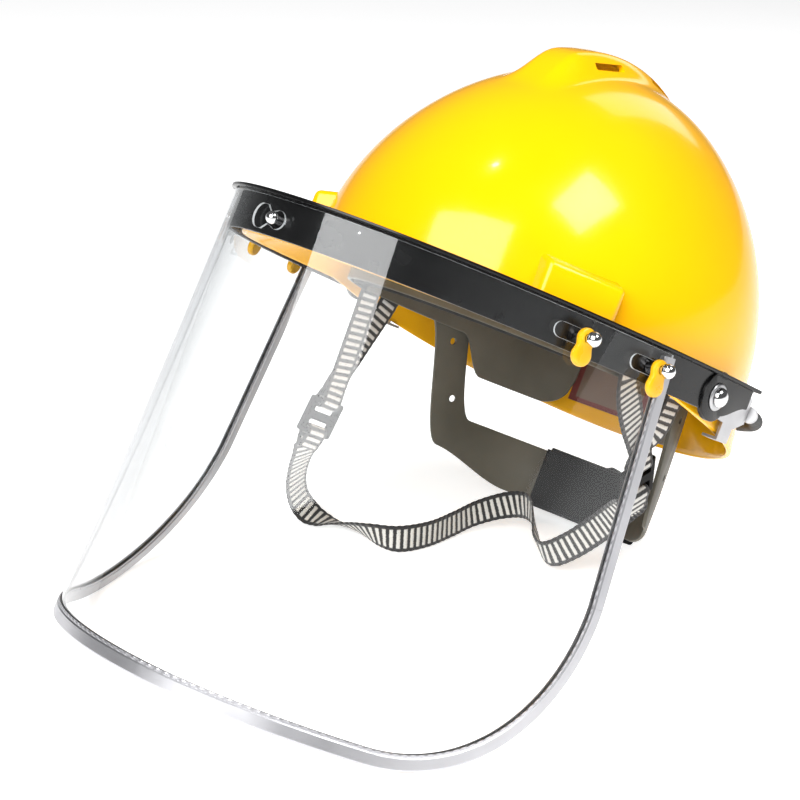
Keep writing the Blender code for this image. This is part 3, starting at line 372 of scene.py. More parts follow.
def turned(name, profile, axis, centre, look, steps=48, in_world=False, angle=35):
    """Spins an (r, h) outline about the axis through centre."""
    turn = Vector((0, 0, 1)).rotation_difference(Vector(axis)).to_matrix()
    verts = []
    for i in range(steps):
        a = 2 * pi * i / steps
        for r, h in profile:
            verts.append(Vector(centre) + turn @ Vector((r * cos(a), r * sin(a), h)))
    count = len(profile)
    faces = []
    for i in range(steps):
        k = (i + 1) % steps
        for j in range(count - 1):
            faces.append((i * count + j, i * count + j + 1, k * count + j + 1, k * count + j))
    return piece(name, verts, faces, look, None, in_world, angle)


def block(name, size, centre, look, turn=None, in_world=False):
    x, y, z = (s / 2 for s in size)
    corners = [(a, b, h) for h in (-z, z) for a, b in ((-x, -y), (x, -y), (x, y), (-x, y))]
    turn = turn or Matrix.Identity(3)
    verts = [Vector(centre) + turn @ Vector(c) for c in corners]
    faces = [(0, 3, 2, 1), (4, 5, 6, 7), (0, 1, 5, 4), (1, 2, 6, 5), (2, 3, 7, 6), (3, 0, 4, 7)]
    return piece(name, verts, faces, look, None, in_world)


def rod(name, radius, start, end, look, steps=32, in_world=False):
    start = Vector(start)
    length = (Vector(end) - start).length
    profile = [(0.0, length), (radius, length), (radius, 0.0), (0.0, 0.0)]
    return turned(name, profile, Vector(end) - start, start, look, steps, in_world)


def ramp(value, low, high):
    t = np.clip((value - low) / (high - low), 0.0, 1.0)
    return t * t * (3 - 2 * t)


def smooth_route(points, per_span):
    """Catmull-Rom through the points, per_span samples between each pair."""
    pts = [np.array(p, float) for p in points]
    pts = [2 * pts[0] - pts[1]] + pts + [2 * pts[-1] - pts[-2]]
    out = []
    for i in range(1, len(pts) - 2):
        a, b, c, d = pts[i - 1:i + 3]
        for k in range(per_span):
            t = k / per_span
            out.append(0.5 * (2 * b + (c - a) * t + (2 * a - 5 * b + 4 * c - d) * t ** 2
                              + (3 * b - a - 3 * c + d) * t ** 3))
    out.append(pts[-2])
    return out


# ---------------------------------------------------------------- plan curves of band and shield
def plan_table(half, reach, power):
    """Arc length, X and Y along half a superellipse, from its front point to its widest, then back."""
    angle = np.linspace(0, pi / 2, 1200)
    x = np.append(half * np.sin(angle) ** (2 / power), half)
    y = np.append(-reach * np.cos(angle) ** (2 / power), 0.1)
    arc = np.concatenate(([0], np.cumsum(np.hypot(np.diff(x), np.diff(y)))))
    return arc, x, y


BAND_TABLE = plan_table(BAND_HALF, BAND_REACH, BAND_POWER)
FOOT_TABLE = plan_table(FOOT_HALF, FOOT_REACH, BAND_POWER)


def on_plan(table, arc, centre_y):
    s, x, y = table
    side = copysign(1.0, arc)
    return np.array((side * np.interp(abs(arc), s, x), centre_y + np.interp(abs(arc), s, y)))


def band_frame(arc, step=0.001):
    """Point on the band's outer face in plan, and the outward direction there."""
    here = on_plan(BAND_TABLE, arc, BAND_Y)
    along = on_plan(BAND_TABLE, arc + step, BAND_Y) - on_plan(BAND_TABLE, arc - step, BAND_Y)
    along /= np.linalg.norm(along)
    return here, np.array((along[1], -along[0]))


def on_sheet(arc, drop):
    k = drop / SHEET_HEIGHT
    x, y = on_plan(BAND_TABLE, arc, BAND_Y) * (1 - k) + on_plan(FOOT_TABLE, arc, FOOT_Y) * k
    return np.array((x, y, SHEET_TOP - drop))


def sheet_normal(arc, drop, step=0.0015):
    across = on_sheet(arc + step, drop) - on_sheet(arc - step, drop)
    down = on_sheet(arc, drop + step) - on_sheet(arc, drop - step)
    normal = np.cross(down, across)
    return normal / np.linalg.norm(normal)


def sheet_point(arc, drop, out=0.0):
    """On the shield's middle surface, or out from it."""
    return on_sheet(arc, drop) + sheet_normal(arc, drop) * (SHEET_OFF + SHEET_THICK / 2 + out)


# ---------------------------------------------------------------- shell
def dome_point(angle, climb):
    c, s = cos(angle), sin(angle)
    reach = DOME_FRONT if s < 0 else DOME_REAR
    spread_out = cos(climb) ** (2 / RISE_POWER)
    x = DOME_HALF * copysign(abs(c) ** (2 / PLAN_POWER), c)
    y = reach * copysign(abs(s) ** (2 / PLAN_POWER), s)
    z = DOME_HEIGHT * sin(climb) ** (2 / RISE_POWER)
    return np.array((x * spread_out, DOME_Y + y * spread_out, z))


def dome_normal(point):
    x, y, z = point
    reach = DOME_FRONT if y < DOME_Y else DOME_REAR
    normal = np.array((x / DOME_HALF ** 2, (y - DOME_Y) / reach ** 2, z / DOME_HEIGHT ** 2))
    return normal / np.linalg.norm(normal)


def ridge_height(point):
    """Height of the crown ridge: steep at its front end, long and low towards the back."""
    x, y, _ = point
    across = 1 - ramp(abs(x), RIDGE_HALF, RIDGE_HALF + RIDGE_SLOPE)
    tall = 0.0098 - 0.0060 * ramp(y, -0.055, 0.050)
    return across * ramp(y, -0.072, -0.044) * tall * (1 - ramp(y, 0.070, 0.112))


def rim_point(angle):
    c, s = cos(angle), sin(angle)
    y = DOME_Y + (BRIM_FRONT if s < 0 else BRIM_REAR) * s
    z = -0.0165 - 0.0215 * min(1.0, max(0.0, (y + 0.030) / 0.148)) ** 0.9
    return np.array((BRIM_HALF * c, y, z))


def crown_height(y, x=0.0):
    reach = DOME_FRONT if y < DOME_Y else DOME_REAR
    plan = ((abs(x) / DOME_HALF) ** PLAN_POWER + (abs(y - DOME_Y) / reach) ** PLAN_POWER) ** (1 / PLAN_POWER)
    z = DOME_HEIGHT * (1 - plan ** RISE_POWER) ** (1 / RISE_POWER)
    point = np.array((x, y, z))
    return z + ridge_height(point) * dome_normal(point)[2]


def shell():
    around = 256
    angles = [a + 0.30 * sin(2 * a) for a in np.linspace(0, 2 * pi, around, endpoint=False)]
    climbs = np.radians(np.linspace(88, 0, 62))
    rings = []
    for climb in climbs:
        ring = []
        for angle in angles:
            point = dome_point(angle, climb)
            ring.append(point + dome_normal(point) * ridge_height(point))
        rings.append(ring)
    foot = rings[-1]
    for part in np.linspace(0, 1, 15)[1:]:
        ring = []
        for i, angle in enumerate(angles):
            rim = rim_point(angle)
            point = foot[i] * (1 - part) + rim * part
            point[2] = rim[2] * part ** 1.15
            ring.append(point)
        rings.append(ring)
    crown = dome_point(0, pi / 2)
    verts = [p for ring in rings for p in ring] + [crown + np.array((0, 0, ridge_height(crown)))]
    faces = grid_faces(len(rings), around, wrap=True)
    faces += [(len(verts) - 1, i, (i + 1) % around) for i in range(around)]
    obj = piece("helmet_shell", verts, faces, "shell")
    outward = (obj.data.polygons[0].normal.z > 0)
    solidify(obj, SHELL_THICK, -1.0 if outward else 1.0)
    bevel(obj, 0.0007, 2, 60)
    apply_modifiers(obj)
    tools = []
    for side in (1, -1):
        for number, y in enumerate((-0.0295, 0.018, 0.060)):
            slope = atan2(crown_height(y + 0.004) - crown_height(y - 0.004), 0.008)
            length = 0.022 * (0.8 if number == 2 else 1.0)
            tool = block(f"vent_{side}_{number}", (0.017, length, 0.0030),
                         (side * 0.0145, y, crown_height(y, 0.0125)), "shell", Matrix.Rotation(slope, 3, "X"))
            bevel(tool, 0.0009, 3)
            tools.append(apply_modifiers(tool))
    cut(obj, tools)
    keep(obj, "hat", "shell")
    for side, word in ((1, "left"), (-1, "right")):
        boss(side, word)


def boss_frame(side):
    spread_in = (0.0780 + DOME_Y) / DOME_FRONT
    x = DOME_HALF * (1 - spread_in ** PLAN_POWER) ** (1 / PLAN_POWER)
    normal = Vector((side * x / DOME_HALF ** 2, -(0.0780 + DOME_Y) / DOME_FRONT ** 2, 0)).normalized()
    return Vector((side * x, -0.0780, 0)), normal


def boss(side, word):
    """Raised accessory pocket above the brim, open below, with a sloped top."""
    middle, out = boss_frame(side)
    turn = Vector((0, 1, 0)).rotation_difference(out).to_matrix()
    long, deep, tall = 0.0400, 0.0150, 0.0200
    centre = middle - out * 0.0005 + Vector((0, 0, tall / 2 - 0.001))
    verts = []
    for z in (-tall / 2, tall / 2):
        for x, y in ((-long / 2, -deep / 2), (long / 2, -deep / 2), (long / 2 * 0.92, deep / 2),
                     (-long / 2 * 0.92, deep / 2)):
            low = 0.0035 if (z > 0 and y > 0) else 0.0
            verts.append(centre + turn @ Vector((x, y, z - low)))
    faces = [(0, 1, 2, 3), (4, 7, 6, 5), (0, 4, 5, 1), (1, 5, 6, 2), (2, 6, 7, 3), (3, 7, 4, 0)]
    obj = piece("accessory_boss_" + word, verts, faces, "shell")
    bevel(obj, 0.0026, 5)
    apply_modifiers(obj)
    slot_at = middle + out * 0.0048 + Vector((0, 0, -0.001))
    cut(obj, [block("slot", (long - 0.010, 0.0034, 0.012), slot_at, "shell", turn)])
    keep(obj, "hat")


# ---------------------------------------------------------------- bracket band
def bracket_band():
    s, _, ys = BAND_TABLE
    end = float(np.interp(BAND_END_Y - BAND_Y, ys, s))
    sections = []
    for arc in np.linspace(-end, end, 240):
        here, out = band_frame(arc)
        low = -BAND_HEIGHT + 0.008 * ramp(here[1], 0.006, BAND_END_Y)
        lip = BAND_LIP_THICK
        loop = ((-BAND_WALL, low), (0, low), (0, -lip), (BAND_LIP, -lip), (BAND_LIP, 0), (-BAND_WALL, 0))
        sections.append([(*(here + out * w), z) for w, z in rounded(loop, 0.0006, 2)])
    obj = loft("bracket_strip", sections, "band")
    lobes = []
    for side in (1, -1):
        lobe = rod("lobe", LOBE_RADIUS, (side * (PIVOT_X - BAND_WALL - 0.0002), 0, PIVOT_Z),
                   (side * (PIVOT_X + 0.0003), 0, PIVOT_Z), "band", 72)
        bevel(lobe, 0.0002, 2)
        lobes.append(apply_modifiers(lobe))
    cut(obj, lobes, "UNION")
    keep(obj, "visor", "bracket_band")


# ---------------------------------------------------------------- shield
def half_width_at(drop):
    below = drop - (SHEET_HEIGHT - SHEET_CORNER)
    if below <= 0:
        return SHEET_WIDTH / 2 + SHEET_TAPER * below / (SHEET_HEIGHT - SHEET_CORNER)
    return SHEET_WIDTH / 2 - SHEET_CORNER + sqrt(max(0.0, SHEET_CORNER ** 2 - below * below))


def stud_places():
    """Arc, point on the band and outward direction of the five studs."""
    places = []
    for arc in (0.0, STUD_ARCS[1], -STUD_ARCS[1], STUD_ARCS[2], -STUD_ARCS[2]):
        here, _ = band_frame(arc)
        places.append((arc, Vector((*here, STUD_Z)), Vector(sheet_normal(arc, SHEET_TOP - STUD_Z))))
    return places


def sheet_tool(name, arc, outline):
    """Cutter through the sheet for an outline of (along, up) offsets from a stud."""
    drop = SHEET_TOP - STUD_Z
    rings = [[sheet_point(arc + u, drop - v, w) for u, v in outline] for w in (-0.002, 0.002)]
    return loft(name, rings, "cut")


def slot_outline(lead, radius, side, steps=14):
    outline = []
    for i in range(steps):
        a = -pi / 2 + pi * i / (steps - 1)
        outline.append((side * radius * cos(a), radius * sin(a)))
    for i in range(steps):
        a = pi / 2 + pi * i / (steps - 1)
        outline.append((side * (radius * cos(a) - lead), radius * sin(a)))
    return outline


def key_outline():
    """The middle keyhole: a wide waisted opening in front and a round seat behind."""
    outline = []
    for degrees in range(-125, 126, 10):
        a = radians(degrees)
        outline.append((0.0040 * cos(a), 0.0040 * sin(a)))
    outline += [(-0.0048, 0.0026), (-0.0078, 0.0052)]
    for degrees in range(110, 251, 14):
        a = radians(degrees)
        outline.append((-0.0095 + 0.0055 * cos(a), 0.0055 * sin(a)))
    outline += [(-0.0078, -0.0052), (-0.0048, -0.0026)]
    return outline


def shield():
    straight = SHEET_HEIGHT - SHEET_CORNER
    rows = list(np.linspace(0, straight, 22))
    rows += [straight + SHEET_CORNER * sin(a) for a in np.linspace(0, pi / 2, 24)[1:]]
    columns = 121
    verts = []
    for drop in rows:
        half = half_width_at(drop)
        verts += [sheet_point(half * u, drop, -SHEET_THICK / 2) for u in np.linspace(-1, 1, columns)]
    obj = piece("clear_shield", verts, grid_faces(len(rows), columns), "clear")
    obj.data.materials.append(M["cut"])
    outward = obj.data.polygons[columns // 2].normal.y < 0
    solidify(obj, SHEET_THICK, 1.0 if outward else -1.0, 1)
    apply_modifiers(obj, 40)
    tools = [sheet_tool("key", 0.0, key_outline())]
    for arc, _, _ in stud_places()[1:]:
        tools.append(sheet_tool("slot", arc, slot_outline(0.0105, 0.0034, copysign(1, arc))))
    cut(obj, tools, angle=40)
    keep(obj, "visor", "visor_sheet")


def sheet_edge(spacing):
    """(arc, drop) along the shield's side, rounded corner, bottom, corner and side."""
    half, low, r = SHEET_WIDTH / 2, SHEET_HEIGHT, SHEET_CORNER
    path = [(half_width_at(d), d) for d in np.arange(0.0014, low - r, spacing)]
    steps = int(r * pi / 2 / spacing)
    turn = np.linspace(0, pi / 2, steps)
    path += [(half - r + r * cos(a), low - r + r * sin(a)) for a in turn]
    path += [(s, low) for s in np.arange(half - r - spacing, -(half - r), -spacing)]
    path += [(-x, d) for x, d in reversed([p for p in path if p[0] >= half - r - 1e-9])]
    return path


def edge_trim():
    """Rolled metal channel with a crimped groove and stamped dashes along its inner edge."""
    spacing = 0.0008
    path = sheet_edge(spacing)
    sections = []
    slit = SHEET_THICK / 2 + GAP
    wall = TRIM_HALF
    for i, (arc, drop) in enumerate(path):
        before = np.array(path[max(i - 1, 0)])
        after = np.array(path[min(i + 1, len(path) - 1)])
        along = (after - before) / np.linalg.norm(after - before)
        outward = np.array((along[1], -along[0]))
        if outward[0] * arc < 0 or (abs(arc) < 0.1 and outward[1] < 0):
            outward = -outward
        dash = 0.00045 if i % 5 < 3 else 0.0
        groove = wall - 0.0004
        outer = [(-0.0058, wall - 0.0003), (-0.0052, wall - dash), (-0.0046, groove), (-0.0040, wall),
                 (0.0004, wall), (0.0010, wall * 0.8), (0.0013, wall * 0.4)]
        inner = [(-0.0058, slit), (0.0003, slit), (0.0003, -slit), (-0.0058, -slit)]
        loop = inner + [(u, -w) for u, w in outer] + [(u, w) for u, w in reversed(outer)]
        sections.append([sheet_point(arc + outward[0] * u, drop + outward[1] * u, w) for u, w in loop])
    obj = loft("shield_trim", sections, "trim", angle=28)
    keep(obj, "visor", "edge_trim")


def studs_and_tabs():
    words = ("middle", "left_front", "right_front", "left_rear", "right_rear")
    for (arc, place, out), word in zip(stud_places(), words):
        lift = (Vector(sheet_point(arc, SHEET_TOP - STUD_Z)) - place).dot(out)
        tab_in = lift + TRIM_HALF + GAP
        tab_out = tab_in + TAB_THICK
        ball = STUD_BALL if arc else 0.0027
        head = (tab_out if arc else lift + SHEET_THICK / 2) + GAP + ball * 0.93
        low = asin(STUD_NECK / ball)
        profile = [(ball * sin(a), head + ball * cos(a)) for a in np.linspace(0, pi - low, 24)]
        if arc:
            collar = 0.0029
            profile += [(STUD_NECK, tab_in - GAP), (collar, tab_in - GAP), (collar, GAP), (STUD_NECK, GAP)]
        inside = -BAND_WALL - 0.0006
        profile += [(STUD_NECK, inside), (0.0040, inside), (0.0042, inside - 0.0002), (0.0042, inside - 0.0009),
                    (0.0, inside - 0.0009)]
        keep(turned("ball_stud_" + word, profile, out, place, "chrome", 40), "visor", "stud_" + word)
        if arc:
            lock_tab(word, place, out, tab_in, tab_out)


def lock_tab(word, place, out, low, high):
    """Peanut-shaped turn tab with a narrow waist and softly rounded edges."""
    side = Vector((-out.y, out.x, 0)).normalized()
    up = out.cross(side)
    outline = []
    for i in range(28):
        a = radians(-24 + 228 * i / 27)
        outline.append((TAB_TOP * cos(a), TAB_TOP * sin(a)))
    waist = (-TAB_TOP * 0.80, -TAB_DROP * 0.48)
    outline.append(waist)
    for i in range(28):
        a = radians(156 + 228 * i / 27)
        outline.append((TAB_FOOT * cos(a), -TAB_DROP + TAB_FOOT * sin(a)))
    outline.append((-waist[0], waist[1]))
    rings = []
    thick = high - low
    levels = ((0.0, 0.0006), (0.15, 0.0001), (0.3, 0.0), (0.65, 0.0), (0.85, 0.0003), (0.97, 0.0010), (1.0, 0.0018))
    for h, inset in levels:
        ring = []
        for u, v in outline:
            centre_v = 0.0 if v > -TAB_DROP / 2 else -TAB_DROP
            away = hypot(u, v - centre_v)
            factor = 1 - inset / away
            ring.append(place + out * (low + thick * h) + side * (u * factor)
                        + up * (centre_v + (v - centre_v) * factor))
        rings.append(ring)
    obj = loft("turn_tab_" + word, rings, "tab")
    hole = rod("hole", STUD_NECK + 0.0003, place - out * 0.004, place + out * 0.012, "tab", 28)
    cut(obj, [hole])
    keep(obj, "lock_tab_" + word, "lock_tab_" + word)


# ---------------------------------------------------------------- pivots and rear spring
def pivots():
    for side, word in ((1, "left"), (-1, "right")):
        face = (side * (PIVOT_X + 0.0006), 0, PIVOT_Z)
        ring = [(0.0030, 0.0), (0.0030, 0.0008), (0.0057, 0.0008), (0.0061, 0.0006), (0.0064, 0.0002), (0.0064, 0.0),
                (0.0030, 0.0)]
        keep(turned("rivet_washer_" + word, ring, (side, 0, 0), face, "zinc", 64), "hat", "pivot_washer_" + word)
        base = 0.0011
        head = [(0.0046 * sin(a), base + 0.0034 * cos(a)) for a in np.linspace(0, pi / 2, 20)]
        tail = -0.0071
        head += [(0.0022, base), (0.0022, tail + 0.0008), (0.0042, tail + 0.0008), (0.0042, tail), (0.0, tail)]
        keep(turned("rivet_" + word, head, (side, 0, 0), face, "chrome", 64), "hat", "pivot_rivet_" + word)


def rear_spring():
    """Tension spring in a tight sheath whose coils show as fine ribs."""
    half, back = 0.1100, 0.1165
    first = asin((0.0440 - DOME_Y) / back)
    count = 900
    sections = []
    angles = np.linspace(first, pi - first, count)
    line = [np.array((half * cos(a), DOME_Y + back * sin(a), -0.0110 - 0.004 * sin(a) ** 2))
            for a in angles]
    length = 0.0
    for i, place in enumerate(line):
        along = line[min(i + 1, count - 1)] - line[max(i - 1, 0)]
        length += np.linalg.norm(along) / 2
        along /= np.linalg.norm(along)
        side = np.cross(along, (0, 0, 1))
        side /= np.linalg.norm(side)
        up = np.cross(side, along)
        radius = 0.0031 + 0.0003 * abs(sin(pi * length / 0.0024))
        sections.append([place + radius * (side * cos(a) + up * sin(a))
                         for a in np.linspace(0, 2 * pi, 18, endpoint=False)])
    keep(loft("spring_cover", sections, "sheath", angle=60), "hat", "rear_spring")


# ---------------------------------------------------------------- suspension
def oval_point(angle, grow, z):
    """On the headband's oval, angle 0 at the front, positive to the left."""
    return ((OVAL_HALF + grow) * sin(angle), OVAL_Y - (OVAL_LONG + grow) * cos(angle), z)


def strip(name, stations, look, radius=0.0006, angle=35):
    """Loft of (angle, inner grow, thickness, low z, high z) stations round the oval."""
    sections = []
    for a, grow, thick, low, high in stations:
        loop = rounded(((grow, low), (grow + thick, low), (grow + thick, high), (grow, high)), radius, 3)
        sections.append([oval_point(a, g, z) for g, z in loop])
    return loft(name, sections, look, angle=angle)


def strip_hole(name, angle, z, wide, tall, look="grey"):
    """Cutter for a slot through a strip on the oval."""
    outward = Vector((sin(angle), -cos(angle), 0))
    turn = Vector((0, 1, 0)).rotation_difference(outward).to_matrix()
    tool = block(name, (wide, 0.020, tall), oval_point(angle, 0.002, z), look, turn)
    bevel(tool, min(wide, tall) * 0.45, 4)
    return apply_modifiers(tool)


def headband():
    """Moulded band with size slots and hanger slots, its ends rounded."""
    end = radians(161)
    stations = []
    for angle in np.linspace(-end, end, 241):
        left = (end - abs(angle)) / radians(11)
        close = sqrt(max(0.0, 1 - (1 - min(1.0, left)) ** 2))
        low = BAND_LOW - 0.0190 * ramp(math.degrees(abs(angle)), 117, 128)
        middle = (low + BAND_HIGH) / 2
        half = (BAND_HIGH - low) / 2 * (0.35 + 0.65 * close)
        stations.append((angle, 0.0, STRIP, middle - half, middle + half))
    obj = strip("head_ring", stations, "grey")
    tools = []
    for side in (1, -1):
        for k in range(5):
            angle = side * radians(112 + 8 * k)
            tools.append(strip_hole(f"size_{side}_{k}", angle, -0.008, 0.0030, 0.0030))
        for degrees in (30, 75, 100, 135):
            angle = side * radians(degrees)
            tools.append(strip_hole(f"hanger_{side}_{degrees}", angle, 0.006, 0.0120, 0.0026))
    cut(obj, tools)
    keep(obj, "hat", "headband")


def nape_centre(turn):
    """Middle line of a nape strap: turn 0 at the headband's side, 1 at the back. Angle, z, half height."""
    degrees = 100 + 80 * turn
    low = -0.0160 - 0.0620 * ramp(degrees, 104, 123) + (NAPE_Z - NAPE_HALF + 0.0780) * ramp(degrees, 122, 150)
    high = 0.0080 + (NAPE_Z + NAPE_HALF - 0.0080) * ramp(degrees, 112, 131)
    return radians(degrees), (low + high) / 2, (high - low) / 2


def nape_straps():
    """Arms that drop behind the ears, with three peg holes and ratchet teeth at the back."""
    for side, word in ((1, "left"), (-1, "right")):
        stations = []
        extra = CROSSING if side > 0 else 0.0
        for turn in np.linspace(0, 1.12, 150):
            angle, z, half = nape_centre(turn)
            half *= 0.45 + 0.55 * ramp(turn, -0.02, 0.05) * (1 - ramp(turn, 1.06, 1.13))
            grow = STRIP + GAP + NAPE_OUT * ramp(turn, 0.0, 0.6) + extra * ramp(turn, 0.55, 0.85)
            stations.append((side * angle, grow, STRIP, z - half, z + half))
        obj = strip("nape_arm_" + word, stations, "grey")
        tools = [strip_hole(f"peg_{k}", side * nape_centre(0.10 + 0.09 * k)[0],
                            nape_centre(0.10 + 0.09 * k)[1] + 0.002, 0.0036, 0.0036) for k in range(3)]
        cut(obj, tools)
        keep(obj, "hat", "nape_strap_" + word)
        teeth(word, stations)


def teeth(word, stations):
    """Low ribs across the outer face of the nape arm, the rack that the pinion drives."""
    verts = []
    faces = []
    for angle, grow, thick, low, high in stations[84:128:2]:
        middle = (low + high) / 2
        start = len(verts)
        width = radians(0.32)
        out = grow + thick
        for a, lift in ((-width, -0.0001), (-width * 0.5, 0.0004), (width * 0.5, 0.0004), (width, -0.0001)):
            for z in (middle - 0.0062, middle + 0.0062):
                verts.append(oval_point(angle + a, out + lift, z))
        faces += [(start, start + 2, start + 3, start + 1), (start + 2, start + 4, start + 5, start + 3),
                  (start + 4, start + 6, start + 7, start + 5), (start, start + 1, start + 7, start + 6),
                  (start, start + 6, start + 4, start + 2), (start + 1, start + 3, start + 5, start + 7)]
    keep(piece("rack_teeth_" + word, verts, faces, "grey"), "hat")


def ratchet():
    inner = STRIP + GAP + NAPE_OUT
    outer = inner + CROSSING + STRIP
    low, high = NAPE_Z - 0.0150, NAPE_Z + 0.0150
    angles = [pi + a for a in np.radians(np.linspace(-20, 20, 49))]
    plate = strip("ratchet_plate", [(a, inner - CROSSING, 0.0022, low, high) for a in angles], "black", 0.0008)
    keep(plate, "hat", "adjuster_cover")
    depth = 0.0085
    body = strip("ratchet_body", [(a, outer + 0.0005, depth, low - 0.0015, high + 0.0015) for a in angles],
                 "black", 0.0024)
    front = OVAL_Y + OVAL_LONG + outer + 0.0005
    chamber = rod("chamber", 0.0120, (0, front - 0.003, KNOB_Z), (0, front + 0.0060, KNOB_Z), "black", 48)
    bore = rod("bore", 0.0036, (0, front, KNOB_Z), (0, front + depth + 0.002, KNOB_Z), "black", 32)
    cut(body, [chamber, bore])
    keep(body, "hat", "adjuster_housing")
    knob(front + depth)


def knob(face):
    """Round hand knob: finger flutes, a dished end and a raised rim."""
    low = face + 0.0004
    high = low + 0.0105
    rings = []
    outline = ((low, 0.93), (low + 0.0004, 0.96), (low + 0.0012, 1.0), (high - 0.0030, 0.97), (high - 0.0012, 0.93),
               (high - 0.0003, 0.86), (high, 0.80), (high - 0.0004, 0.72), (high - 0.0012, 0.66), (high - 0.0012, 0.10))
    for y, scale in outline:
        ring = []
        for a in np.linspace(0, 2 * pi, 192, endpoint=False):
            flute = 0.055 * (0.5 - 0.5 * cos(12 * a)) if scale > 0.7 else 0.0
            radius = KNOB_RADIUS * scale * (1 - flute)
            ring.append((radius * cos(a), y, KNOB_Z + radius * sin(a)))
        rings.append(ring)
    obj = loft("hand_knob", rings, "black")
    cut(obj, [rod("socket", 0.0035, (0, low - 0.001, KNOB_Z), (0, low + 0.0045, KNOB_Z), "black", 32)])
    keep(obj, "ratchet", "adjuster_knob")


def cradle():
    """Crown web: a ring over the head and six arms, each with a rib down its middle."""
    top, radius = 0.0880, 0.0270
    ring = rounded(((radius, top + 0.0016), (radius, top), (0.0150, top), (0.0150, top + 0.0016)), 0.0006, 3)
    hub = turned("crown_ring", [*ring, ring[0]], (0, 0, 1), (0, DOME_Y, 0), "grey", 96)
    arms = []
    for number, degrees in enumerate((35, 90, 140, 220, 270, 325)):
        angle = radians(degrees)
        outward = np.array((sin(angle), -cos(angle), 0))
        side = np.array((cos(angle), sin(angle), 0))
        foot = np.array(oval_point(angle, STRIP + FOOT_OUT, 0.0030))
        start = np.array((0, DOME_Y, top)) + outward * radius * 0.85
        sections = []
        for t in np.linspace(0, 1, 49):
            bend = radians(90 * t)
            place = start + (foot - start) * sin(bend) ** 0.92
            place[2] = foot[2] + (top + 0.0002 - foot[2]) * cos(bend) ** 0.80
            wide = 0.0075 + 0.0020 * t
            away = outward * sin(bend) + np.array((0, 0, 1)) * cos(bend)
            loop = rounded(((-wide, 0), (wide, 0), (wide, 0.0013), (0.0016, 0.0013), (0.0010, 0.0019),
                            (-0.0010, 0.0019), (-0.0016, 0.0013), (-wide, 0.0013)), 0.0005, 2)
            sections.append([place + side * u + away * w for u, w in loop])
        arms.append(loft(f"arm_{number}", sections, "grey"))
        hanger(number, angle, outward)
    cut(hub, arms, "UNION")
    keep(hub, "hat", "crown_cradle")


def hanger(number, angle, outward):
    """Key that plugs an arm into the shell: a slotted block."""
    place = Vector(oval_point(angle, STRIP + FOOT_OUT + 0.0013 + GAP + 0.0022, 0.0060))
    turn = Vector((0, 1, 0)).rotation_difference(Vector(outward)).to_matrix()
    obj = block(f"hanger_{number + 1}", (0.0150, 0.0040, 0.0120), place, "grey", turn)
    bevel(obj, 0.0009, 4)
    apply_modifiers(obj)
    cut(obj, [block("slit", (0.0080, 0.0090, 0.0022), place + Vector((0, 0, 0.0020)), "grey", turn)])
    keep(obj, "hat", f"cradle_key_{number + 1}")


def sweatband():
    """Foam pad round the forehead, crowned across its height and pulled in at its sewn edges."""
    sections = []
    low, high = BAND_LOW - 0.001, BAND_HIGH + 0.001
    middle = (low + high) / 2
    for angle in np.radians(np.linspace(-62, 62, 121)):
        fade = ramp(62 - abs(math.degrees(angle)), 0.0, 4.0)
        loop = []
        for t in np.linspace(0, 2 * pi, 28, endpoint=False):
            z = middle + (high - low) / 2 * copysign(abs(sin(t)) ** 0.55, sin(t))
            swell = copysign(abs(cos(t)) ** 0.7, cos(t))
            puff = 0.00012 * sin(math.degrees(angle) * 1.9)
            inward = 0.0023 * (0.35 + 0.65 * fade) + puff
            grow = -0.0029 + (0.0021 if swell > 0 else inward) * swell
            loop.append(oval_point(angle, grow, z))
        sections.append(loop)
    obj = loft("sweat_pad", sections, "foam", angle=60)
    keep(obj, "hat", "sweatband")


def label():
    rows, columns = 33, 45
    verts = []
    u_values = []
    v_values = []
    for v in np.linspace(-1, 1, rows):
        for u in np.linspace(-1, 1, columns):
            x = -0.012 + 0.022 * u
            y = DOME_Y + 0.0984 * sqrt(1 - (x / 0.0975) ** 2) - 0.0003
            verts.append((x, y, -0.013 + 0.017 * v))
            u_values.append(u)
            v_values.append(v)
    marks = {"along": u_values, "across": v_values}
    obj = piece("data_label", verts, grid_faces(rows, columns), "label", marks)
    solidify(obj, 0.0003, 0.0)
    apply_modifiers(obj)
    keep(obj, "hat", "label")


